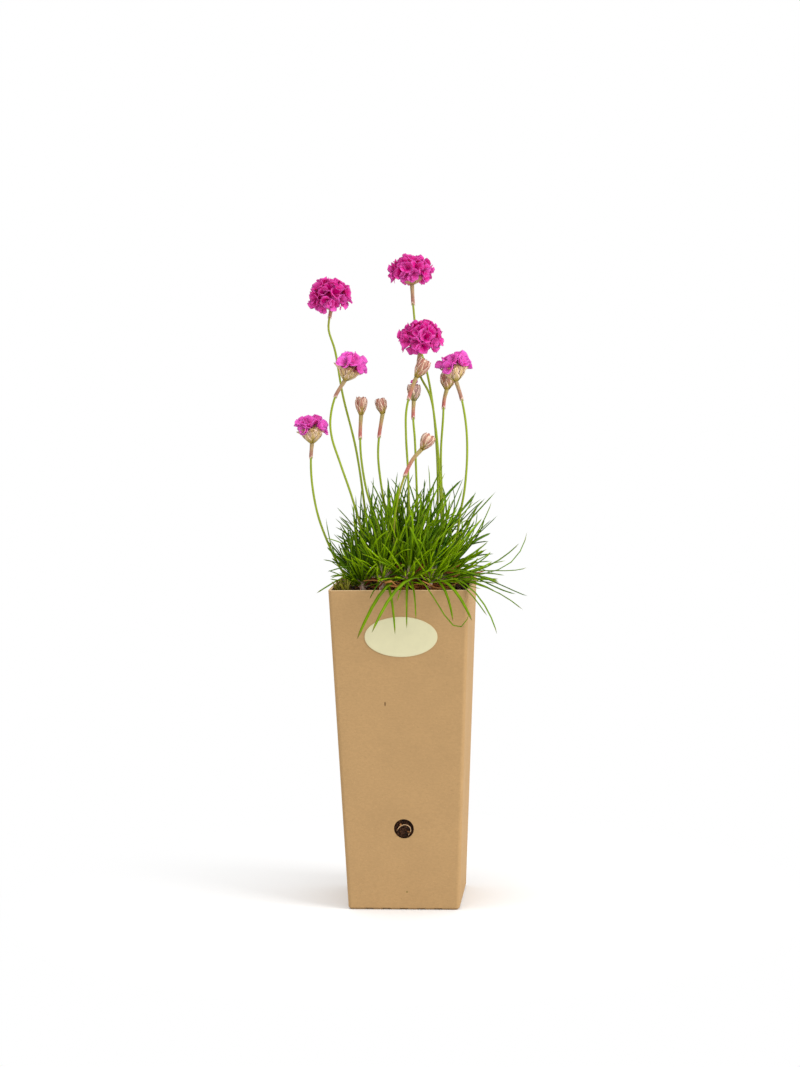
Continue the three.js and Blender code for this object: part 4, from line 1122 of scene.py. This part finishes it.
def sheath_material(name, low, high, papery):
    """Papery sheath: one tone at its lower end and another under the cup, with pale edges and fine veins."""
    s = Shader(name)
    along, across, _ = s.looks()
    base = s.blend(s.band(along, 0.1, 0.95), low, high)
    base = s.coat(base, papery, s.band(across, 0.5, 1.0), 0.35)
    vein = s.noise(1.0, 3, (2.4, 2.4, 0.3))
    base = s.coat(base, shade(low, 0.6), s.band(vein, 0.4, 0.7), 0.4)
    base = s.coat(base, papery, s.band(along, 0.12, 0.0))
    return s.finish(base, 0.66, vein, 0.1, sheer=0.12, specular=0.3)


def bract_material(name, foot, papery, stripe):
    """Papery bract: coloured foot, dark stripe up the middle, and thin pale margins towards the tip."""
    s = Shader(name)
    along, across, tone = s.looks()
    base = s.blend(s.band(tone, 0.0, 1.0), papery, shade(papery, 0.86, 0.78, 0.7))
    core = s.maths("MULTIPLY", s.band(across, 0.72, 0.36), s.band(along, 0.05, 0.4))
    vein = s.noise(1.0, 3, (2.2, 2.2, 0.5))
    base = s.coat(base, stripe, core, s.maths("ADD", 0.6, s.maths("MULTIPLY", vein, 0.4)))
    base = s.coat(base, foot, s.band(along, 0.62, 0.15))
    base = s.coat(base, shade(stripe, 0.6), s.band(vein, 0.5, 0.72), 0.3)
    return s.finish(base, 0.55, vein, 0.08, sheer=0.15, specular=0.35)


def petal_material(name, deep, pale):
    """Petal: deep in the throat, lighter to the edges and on the outer florets, with fine veins."""
    s = Shader(name)
    along, across, tone = s.looks()
    base = s.blend(s.band(along, 0.02, 0.5), shade(deep, 0.85, 0.5, 0.85), deep)
    base = s.coat(base, pale, s.band(tone, 0.15, 1.0), 0.75)
    base = s.coat(base, pale, s.band(s.maths("MAXIMUM", along, across), 0.6, 1.0), 0.5)
    vein = s.noise(1.0, 3, (1.5, 1.5, 1.5))
    base = s.coat(base, deep, s.band(vein, 0.45, 0.75), 0.2)
    return s.finish(base, 0.6, vein, 0.03, sheer=0.5, specular=0.12)


# The materials of the soil's piece, by their number in the mesh.
SOIL_LOOK, CRUMB_LOOK, ROOT_LOOK, WEED_LOOK = range(4)
SOIL_COLUMNS, SOIL_WALL_RINGS, SOIL_TOP_SHARES = 168, 90, np.linspace(0.985, 0.02, 44)
PIT_DEPTH, PIT_WAVES, PIT_SEED = 0.35, 0.9, 21
# The waves on the heap: height, scale, seed and octaves.
HEAP_WAVES = ((0.75, 0.7, 22, 4), (0.35, 2.4, 23, 2))


def soil_reach(angle, z):
    """How far the soil reaches at each angle: a square with soft corners, a clearance inside the board."""
    half = pot_width(z) / 2 - BOARD - CLEARANCE
    straight = half / np.maximum(np.abs(np.cos(angle)), np.abs(np.sin(angle)))
    return np.minimum(straight, (half - SOIL_CORNER) * math.sqrt(2) + SOIL_CORNER)


def add_soil(body):
    """The block of soil: walls pitted inwards by waves, and a heaped top whose height carries finer waves."""
    angle = full_turn(SOIL_COLUMNS)
    around = np.stack([np.cos(angle), np.sin(angle)], axis=-1)
    floor, edge = POT_FLOOR + CLEARANCE, POT_HEIGHT - SOIL_BELOW_RIM
    rings = []
    for z in np.linspace(floor, edge, SOIL_WALL_RINGS):
        reach = soil_reach(angle, z)
        spot = np.column_stack([around * reach[:, None], np.full(len(angle), z)])
        spot[:, :2] *= (1 - PIT_DEPTH * (1 + waves(spot, PIT_WAVES, PIT_SEED)).clip(0, 2) / reach)[:, None]
        rings.append(spot)
    for share in SOIL_TOP_SHARES:
        flat = around * (share * soil_reach(angle, edge))[:, None]
        spot = np.column_stack([flat, soil_height(*flat.T)])
        spot[:, 2] += sum(height * waves(spot, *settings) for height, *settings in HEAP_WAVES)
        rings.append(spot)
    bottom, top = np.array([[0, 0, floor]]), np.array([[0, 0, soil_height(0.0, 0.0)]])
    body.skins(np.array(rings)[None], bottom, top, SOIL_LOOK)


CRUMB_RINGS, CRUMB_COLUMNS, CRUMB_DENT = 4, 7, 0.22


def add_crumbs(body, places, sizes, stretch, tones, draw):
    """Rough crumbs: small rounded bodies of a few rings, each stretched, turned and dented by its draw."""
    n = len(places)
    dent = 1 + CRUMB_DENT * draw.normal(size=(n, CRUMB_RINGS, CRUMB_COLUMNS, 1)).clip(-1.5, 1.5)
    shape = ball(CRUMB_RINGS, CRUMB_COLUMNS)[None] * dent * (sizes[:, None] * stretch)[:, None, None, :]
    frames = np.linalg.qr(draw.normal(size=(n, 3, 3)))[0]
    rings = places[:, None, None] + np.einsum("nrci,nij->nrcj", shape, frames)
    pole = frames[:, 2] * (sizes * stretch[:, 2])[:, None]
    body.skins(rings, places + pole, places - pole, CRUMB_LOOK, tone=tones[:, None, None])


def add_loose_crumbs(body, n, draw):
    """Crumbs and bits of bark that lie on the heap."""
    half = pot_width(POT_HEIGHT) / 2 - BOARD - 3
    spots = draw.uniform(-half, half, (n, 2))
    places = np.column_stack([spots, soil_height(*spots.T) + 0.5])
    stretch = draw.uniform((0.7, 0.5, 0.4), (1.4, 1.0, 0.8), (n, 3))
    add_crumbs(body, places, draw.uniform(0.5, 1.5, n), stretch, draw.uniform(0, 0.9, n) ** 1.4, draw)


HOLE_CRUMBS = 90
# What lies in the round hole, from the hole's middle at the board's inner face: the points of a root, and the
# place, size, stretch and tone of two scraps of bark.
ROOT = (
    (-4.6, 0.4, -1.6), (-2.6, -0.4, 1.2), (0.6, -0.6, 2.5), (3.4, -0.5, 1.3), (4.2, -0.2, -1.2),
    (2.6, 0.5, -4.2),
)
ROOT_RADIUS, ROOT_RINGS, ROOT_COLUMNS = 0.27, 26, 8
SCRAPS = (((-2.2, 0.05, 1.9), 1.0, (1.5, 0.8, 0.6), 1.0), ((2.6, 0.1, -2.0), 0.8, (1.1, 0.7, 0.6), 0.85))


def fill_hole(body, draw):
    """Crumbs, two scraps of bark and a root behind the round hole."""
    n = HOLE_CRUMBS
    angle, reach = draw.uniform(0, 2 * math.pi, n), (HOLE_RADIUS - 0.9) * np.sqrt(draw.uniform(0, 1, n))
    x, z = HOLE_X + reach * np.cos(angle), HOLE_Z + reach * np.sin(angle)
    places = np.column_stack([x, -(pot_width(z) / 2 - BOARD - 0.25), z])
    add_crumbs(body, places, draw.uniform(0.3, 0.75, n), np.ones((n, 3)), draw.uniform(0, 0.7, n), draw)
    middle = np.array((HOLE_X, -(pot_width(HOLE_Z) / 2 - BOARD), HOLE_Z))
    places, sizes, stretch, tones = (np.array(group) for group in zip(*SCRAPS))
    add_crumbs(body, middle + places, sizes, stretch, tones, draw)
    add_tube(body, MiddleLine(middle + ROOT), np.linspace(0, 1, ROOT_RINGS), np.full(ROOT_RINGS, ROOT_RADIUS),
             ROOT_COLUMNS, ROOT_LOOK, tone=np.full(ROOT_RINGS, 0.5))


WEEDS, WEED_CORNER = 26, ((-39, -31), (-36, -29))


def add_weeds(body, draw):
    """Small upright weeds at the soil's bare corner."""
    n = WEEDS
    spots = np.column_stack([draw.uniform(*side, n) for side in WEED_CORNER])
    feet = np.column_stack([spots, soil_height(*spots.T)])
    axes = unit(np.column_stack([draw.normal(size=(n, 2)) * 0.14 - (0.12, 0.0), np.ones(n)]))
    outs = outwards(draw.uniform(0, 2 * math.pi, n), *turned_frames(axes))
    bends = np.column_stack([draw.uniform(0.0, 0.15, n), draw.uniform(0.3, 0.9, n)])
    add_petals(body, feet, axes, outs, draw.uniform(5.0, 13.0, n), draw.uniform(1.0, 2.0, n), bends,
               np.full(n, 0.3), draw.uniform(0, 1, n), WEED_LOOK, blunt=0.5, thickness=0.25)


STICKER_OFF, STICKER_COLUMNS = 0.08, 120
# The rings of the sticker: shares of its half sizes, depth off the board, and the value that shades its edge.
STICKER_RINGS = ((0.6, 0, 0), (1, 0, 1), (1, 0.2, 1), (0.998, 0.3, 1), (0.99, 0.35, 0.99), (0.95, 0.35, 0.95),
                 (0.7, 0.35, 0.7), (0.35, 0.35, 0.35))


def add_sticker(body):
    """The oval sticker against the leaning front wall: an ellipse with a rounded edge, clear of the board."""
    lean = math.atan2((POT_TOP - POT_BASE) / 2, POT_HEIGHT)
    front = pot_width(STICKER_Z) / 2 + STICKER_OFF
    angle = full_turn(STICKER_COLUMNS)

    def laid(share, depth):
        up = share * STICKER_HALF_HEIGHT * np.sin(angle)
        return np.stack([STICKER_X + share * STICKER_HALF_WIDTH * np.cos(angle),
                         -front - up * math.sin(lean) - depth * math.cos(lean),
                         STICKER_Z + up * math.cos(lean) - depth * math.sin(lean)], axis=-1)

    rings = np.array([laid(share, depth) for share, depth, _ in STICKER_RINGS])
    body.skins(rings[None], laid(0, 0)[:1], laid(0, STICKER_RINGS[-1][1])[:1],
               along=np.array(STICKER_RINGS)[None, :, 2:])


STUMP_RINGS, STUMP_COLUMNS = 9, 14


def add_stump(body, crown):
    """A crown: a leaning peg from under the soil to its top, knobbly, and pale where the leaves leave it."""
    shares = np.linspace(0, 1, STUMP_RINGS)
    line = MiddleLine([crown["foot"], mix(crown["foot"], crown["top"], 0.5), crown["top"]])
    radii = mix(CROWN_RADIUS, CROWN_NECK, shares) * (1 - 0.5 * smooth_step(0.85, 1.0, shares))
    add_tube(body, line, shares, radii, STUMP_COLUMNS,
             bulge=lambda u, a: 0.08 * np.cos(5 * a + 9 * u) * np.sin(7 * u + 1), along=0.05 * shares,
             across=np.full(STUMP_RINGS, 0.4), tone=np.full(STUMP_RINGS, 0.3))


class THRIFT_OT_carton(bpy.types.Operator):
    """Finishes the folded board of the pot as brown kraft"""

    bl_idname = "thrift.carton"
    bl_label = "Carton"

    def execute(self, context):
        board = carton_material(context.scene.thrift_colours.carton)
        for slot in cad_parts["carton_pot"].material_slots:
            slot.material = board
        return {"FINISHED"}


class THRIFT_OT_sticker(bpy.types.Operator):
    """Lays a smooth oval sticker of cream paper on the pot's front"""

    bl_idname = "thrift.sticker"
    bl_label = "Sticker"

    def execute(self, context):
        body = Body()
        add_sticker(body)
        body.piece("sticker", "sticker", sticker_material(context.scene.thrift_colours.sticker))
        return {"FINISHED"}


class THRIFT_OT_soil(bpy.types.Operator):
    """Fills the pot with peat, with crumbs, a root in the round hole and weeds at one corner"""

    bl_idname = "thrift.soil"
    bl_label = "Soil"

    def execute(self, context):
        body, draw = Body(), np.random.default_rng(SEEDS["soil"])
        add_soil(body)
        add_loose_crumbs(body, context.scene.thrift_sizes.crumbs, draw)
        fill_hole(body, draw)
        add_weeds(body, draw)
        root = stalk_material("pale_root", srgb(196, 160, 120), srgb(206, 176, 140), srgb(186, 150, 112))
        weed = leaf_material("weed_leaf", srgb(140, 136, 44), srgb(88, 88, 24))
        peat = soil_material(context.scene.thrift_colours.soil)
        body.piece("soil", "soil", peat, crumb_material(), root, weed)
        return {"FINISHED"}


class THRIFT_OT_leaves(bpy.types.Operator):
    """Grows every rosette: its grown leaves, finer leaves between them, and withered ones low down"""

    bl_idname = "thrift.leaves"
    bl_label = "Leaves"

    def execute(self, context):
        sizes, colours = context.scene.thrift_sizes, context.scene.thrift_colours
        crowns, stalks, main, fine = all_leaves(sizes.young_rounds)
        dry = (withered_leaves(crowns, stalks, SeededDraw(SEEDS["withered"]), sizes.withered)
               + thatch(crowns, stalks, SeededDraw(SEEDS["thatch"])))
        green, young = colours.leaf, colours.young_leaf
        materials = (leaf_material("grown_leaf", between(green, young, 0.55), green),
                     leaf_material("young_leaf", young, shade(green, 0.8)), withered_material())
        draw = np.random.default_rng(SEEDS["blades"])
        thickness = sizes.leaf_thickness / MM
        sets = ((main, sizes.leaf_width / MM), (fine, sizes.young_leaf_width / MM), (dry, DRY_LEAF_WIDTH))
        for k, crown in enumerate(crowns):
            body = Body()
            add_stump(body, crown)
            for number, (leaves, width) in enumerate(sets):
                own = [leaf for leaf in leaves if leaf["rosette"] == k]
                if own:
                    widths, tones, twists = blade_looks(own, draw, width)
                    add_blades(body, own, widths, thickness, tones, twists, number)
            body.piece(f"rosette_{k + 1:02d}", "leaf", *materials)
        return {"FINISHED"}


STALK_RINGS, STALK_COLUMNS, STALK_IN_SHEATH = 64, 12, 3


class THRIFT_OT_stalks(bpy.types.Operator):
    """Draws the twelve flower stalks, each from the soil into its sheath"""

    bl_idname = "thrift.stalks"
    bl_label = "Stalks"

    def execute(self, context):
        green = context.scene.thrift_colours.stalk
        plain = stalk_material("stalk_green", shade(green, 0.72), green, srgb(150, 146, 60))
        brown = stalk_material("stalk_brown", green, srgb(150, 148, 40), srgb(176, 110, 84))
        for name in FLOWERS:
            cup = Cup(name)
            length = cup.line.length
            shares = np.linspace(0, length - cup.sheath + STALK_IN_SHEATH, STALK_RINGS) / length
            radii = context.scene.thrift_sizes.stalk_radius / MM * (1 + 0.08 * (1 - shares))
            body = Body()
            add_tube(body, cup.line, shares, radii, STALK_COLUMNS, along=shares,
                     bulge=lambda u, a: 0.025 * np.cos(5 * a + 7 * u) + 0.02 * np.sin(40 * u))
            body.piece(f"stalk_{name}", "stalk", brown if name == "bud_front" else plain)
        return {"FINISHED"}


# The screen colours of the sheaths from the lower end up. Then, for each kind of flower, its sheath, the name
# of its bracts, their foot and their stripe. Where the stripe is None, it takes the colour from the panel.
SHEATHS = {"tan": ((166, 110, 92), (172, 150, 96)), "red": ((186, 92, 88), (168, 158, 84))}
BRACTS = {
    "full": ("tan", "tan", (186, 150, 90), (190, 132, 92)),
    "half": ("tan", "cream", (176, 152, 58), (196, 164, 84)),
    "bud": ("red", "olive", (168, 142, 48), None),
    "opening": ("red", "mauve", (150, 140, 76), (140, 92, 96)),
}


class THRIFT_OT_calyces(bpy.types.Operator):
    """Wraps the papery sheath round each stalk's top and lays bracts on each cup"""

    bl_idname = "thrift.calyces"
    bl_label = "Sheaths and Bracts"

    def execute(self, context):
        colours = context.scene.thrift_colours
        papery = colours.papery
        sheaths = {key: sheath_material(f"sheath_{key}", srgb(*low), srgb(*high), papery)
                   for key, (low, high) in SHEATHS.items()}
        looks = {}
        for kind, (sheath, name, foot, stripe) in BRACTS.items():
            stripe = srgb(*stripe) if stripe else colours.bract_stripe
            looks[kind] = sheaths[sheath], bract_material(f"bract_{name}", srgb(*foot), papery, stripe)
        for order, name in enumerate(FLOWERS):
            draw = np.random.default_rng(SEEDS["calyces"] + order)
            cup = Cup(name)
            body = Body()
            add_sheath(body, cup)
            add_cup(body, cup, RIBS[cup.kind])
            for row in SCALES[cup.kind]:
                add_scales(body, cup, draw, *row)
            if cup.kind == "half":
                add_funnels(body, cup, draw)
            body.piece(f"calyx_{name}", "papery", *looks[cup.kind])
        return {"FINISHED"}


class THRIFT_OT_petals(bpy.types.Operator):
    """Opens the florets of the full, half-open and opening heads"""

    bl_idname = "thrift.petals"
    bl_label = "Petals"

    def execute(self, context):
        deep, pale = context.scene.thrift_colours.petal, context.scene.thrift_colours.pale_petal
        full = petal_material("petal_full", deep, pale)
        half = petal_material("petal_half", between(deep, pale, 0.3), pale)
        for order, name in enumerate(n for n in FLOWERS if FLOWERS[n][0] in HEADS):
            draw = np.random.default_rng(SEEDS["petals"] + order)
            cup, centre, *petals = head_petals(name, context.scene.thrift_sizes.petal_size, draw)
            body = Body()
            add_petals(body, *petals)
            if cup.kind == "full":
                dome = DOMES[cup.kind]
                add_core(body, cup, centre, CORE_SHARE * dome["dome"], dome["squash"])
            body.piece(f"petals_{name}", "petal", full if cup.kind == "full" else half)
        return {"FINISHED"}


# The camera as it was fitted to the view of the pot: angles in degrees and lengths in metres.
VIEW_AZIMUTH, VIEW_ELEVATION, VIEW_ROLL, VIEW_DISTANCE = 4.906, 6.303, -0.773, 1.6
VIEW_TARGET = Vector((0.0, 0.0, 0.2))
VIEW_LENS, VIEW_SENSOR, VIEW_SHIFT = 86.55, 36.0, (-0.0039, 0.0459)
# Each light: its name, place and size in metres, and power in watts.
LIGHTS = (("key", (1.6, -0.8, 0.9), 0.9, 26.0), ("top", (-0.2, -0.3, 1.7), 0.8, 6.0))
WHITE, FLOOR_GREY = (1.0, 1.0, 1.0), (0.82, 0.82, 0.82)
# The floor's rings in metres, and where its paint starts to glow and ends, in millimetres.
FLOOR_RINGS, FLOOR_COLUMNS, FLOOR_GLOW = (0.0, 0.1, 0.3, 0.8, 2.0, 5.0), 64, (50, 260)


class THRIFT_OT_stage(bpy.types.Operator):
    """Sets the pale floor, the soft studio light and the camera"""

    bl_idname = "thrift.stage"
    bl_label = "Stage"

    def execute(self, context):
        scene = context.scene
        self.floor(scene)
        world = scene.world or bpy.data.worlds.new("studio")
        scene.world = world
        world.use_nodes = True
        background = world.node_tree.nodes["Background"]
        background.inputs["Color"].default_value = (*WHITE, 1.0)
        background.inputs["Strength"].default_value = 1.0
        scene.view_settings.view_transform = "Standard"
        for light in LIGHTS:
            self.light(scene, *light)
        self.camera(scene)
        return {"FINISHED"}

    @staticmethod
    def floor(scene):
        """A level disc under the pot whose paint turns to plain white light away from the middle."""
        reach, n = np.array(FLOOR_RINGS)[:, None], FLOOR_COLUMNS
        angle = full_turn(n)
        points = np.stack([reach * np.cos(angle), reach * np.sin(angle), 0 * reach + 0 * angle], axis=-1)
        i, low = np.arange(n), n * np.arange(1, len(FLOOR_RINGS) - 1)[:, None]
        j = (i + 1) % n
        quads = np.stack([low + i, low + n + i, low + n + j, low + j], axis=-1)
        middle = np.stack([0 * i, n + i, n + j], axis=-1)
        mesh = bpy.data.meshes.new("floor")
        mesh.from_pydata(points.reshape(-1, 3).tolist(), [], quads.reshape(-1, 4).tolist() + middle.tolist())
        s = Shader("pale_floor")
        away = s.node("VectorMath", {0: s.place}, operation="LENGTH").outputs["Value"]
        paint = s.node("BsdfDiffuse", {"Color": FLOOR_GREY}).outputs[0]
        glow = s.node("Emission", {"Color": WHITE, "Strength": 1.0}).outputs[0]
        surface = s.node("MixShader", {0: s.band(away, *FLOOR_GLOW), 1: paint, 2: glow}).outputs[0]
        s.tree.links.new(surface, s.output.inputs["Surface"])
        mesh.materials.append(s.material)
        floor = bpy.data.objects.new("floor", mesh)
        scene.collection.objects.link(floor)

    @staticmethod
    def light(scene, name, place, size, power):
        """A square soft light that faces the plant."""
        lamp = bpy.data.lights.new(name, "AREA")
        lamp.shape, lamp.size, lamp.energy = "SQUARE", size, power
        holder = bpy.data.objects.new(name, lamp)
        holder.location = place
        holder.rotation_euler = (VIEW_TARGET - Vector(place)).to_track_quat("-Z", "Y").to_euler()
        scene.collection.objects.link(holder)

    @staticmethod
    def camera(scene):
        """The camera looks at the target from its azimuth, elevation and distance, rolled about its axis."""
        azimuth, elevation, roll = (math.radians(a) for a in (VIEW_AZIMUTH, VIEW_ELEVATION, VIEW_ROLL))
        back = Vector((math.sin(azimuth) * math.cos(elevation), -math.cos(azimuth) * math.cos(elevation),
                       math.sin(elevation)))
        level = Vector((math.cos(azimuth), math.sin(azimuth), 0.0))
        above = back.cross(level)
        right = math.cos(roll) * level + math.sin(roll) * above
        up = math.cos(roll) * above - math.sin(roll) * level
        lens = bpy.data.cameras.new("photo_view")
        lens.lens, lens.sensor_width = VIEW_LENS, VIEW_SENSOR
        lens.shift_x, lens.shift_y = VIEW_SHIFT
        camera = bpy.data.objects.new("photo_view", lens)
        turned = Matrix((right, up, back)).transposed().to_4x4()
        camera.matrix_world = Matrix.Translation(VIEW_TARGET + VIEW_DISTANCE * back) @ turned
        scene.collection.objects.link(camera)
        scene.camera = camera


STEPS = (
    THRIFT_OT_stage, THRIFT_OT_carton, THRIFT_OT_sticker, THRIFT_OT_soil, THRIFT_OT_leaves, THRIFT_OT_stalks,
    THRIFT_OT_calyces, THRIFT_OT_petals,
)


class THRIFT_PT_panel(bpy.types.Panel):
    """Lists the sizes, the colours and the steps in the order that they run"""

    bl_label = "Sea Thrift"
    bl_idname = "THRIFT_PT_panel"
    bl_space_type = "VIEW_3D"
    bl_region_type = "UI"
    bl_category = "Sea Thrift"

    def draw(self, context):
        for group in (context.scene.thrift_sizes, context.scene.thrift_colours):
            column = self.layout.column(align=True)
            for key in group.bl_rna.properties.keys():
                if key not in ("rna_type", "name"):
                    column.prop(group, key)
        for step in STEPS:
            self.layout.operator(step.bl_idname)


CLASSES = (ThriftSizes, ThriftColours, *STEPS, THRIFT_PT_panel)


def register():
    for cls in CLASSES:
        bpy.utils.register_class(cls)
    bpy.types.Scene.thrift_sizes = PointerProperty(type=ThriftSizes)
    bpy.types.Scene.thrift_colours = PointerProperty(type=ThriftColours)


def unregister():
    del bpy.types.Scene.thrift_colours
    del bpy.types.Scene.thrift_sizes
    for cls in reversed(CLASSES):
        bpy.utils.unregister_class(cls)


def main():
    """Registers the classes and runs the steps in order."""
    register()
    bpy.ops.thrift.stage()
    bpy.ops.thrift.carton()
    bpy.ops.thrift.sticker()
    bpy.ops.thrift.soil()
    bpy.ops.thrift.leaves()
    bpy.ops.thrift.stalks()
    bpy.ops.thrift.calyces()
    bpy.ops.thrift.petals()
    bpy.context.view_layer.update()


if __name__ == "__main__":
    main()
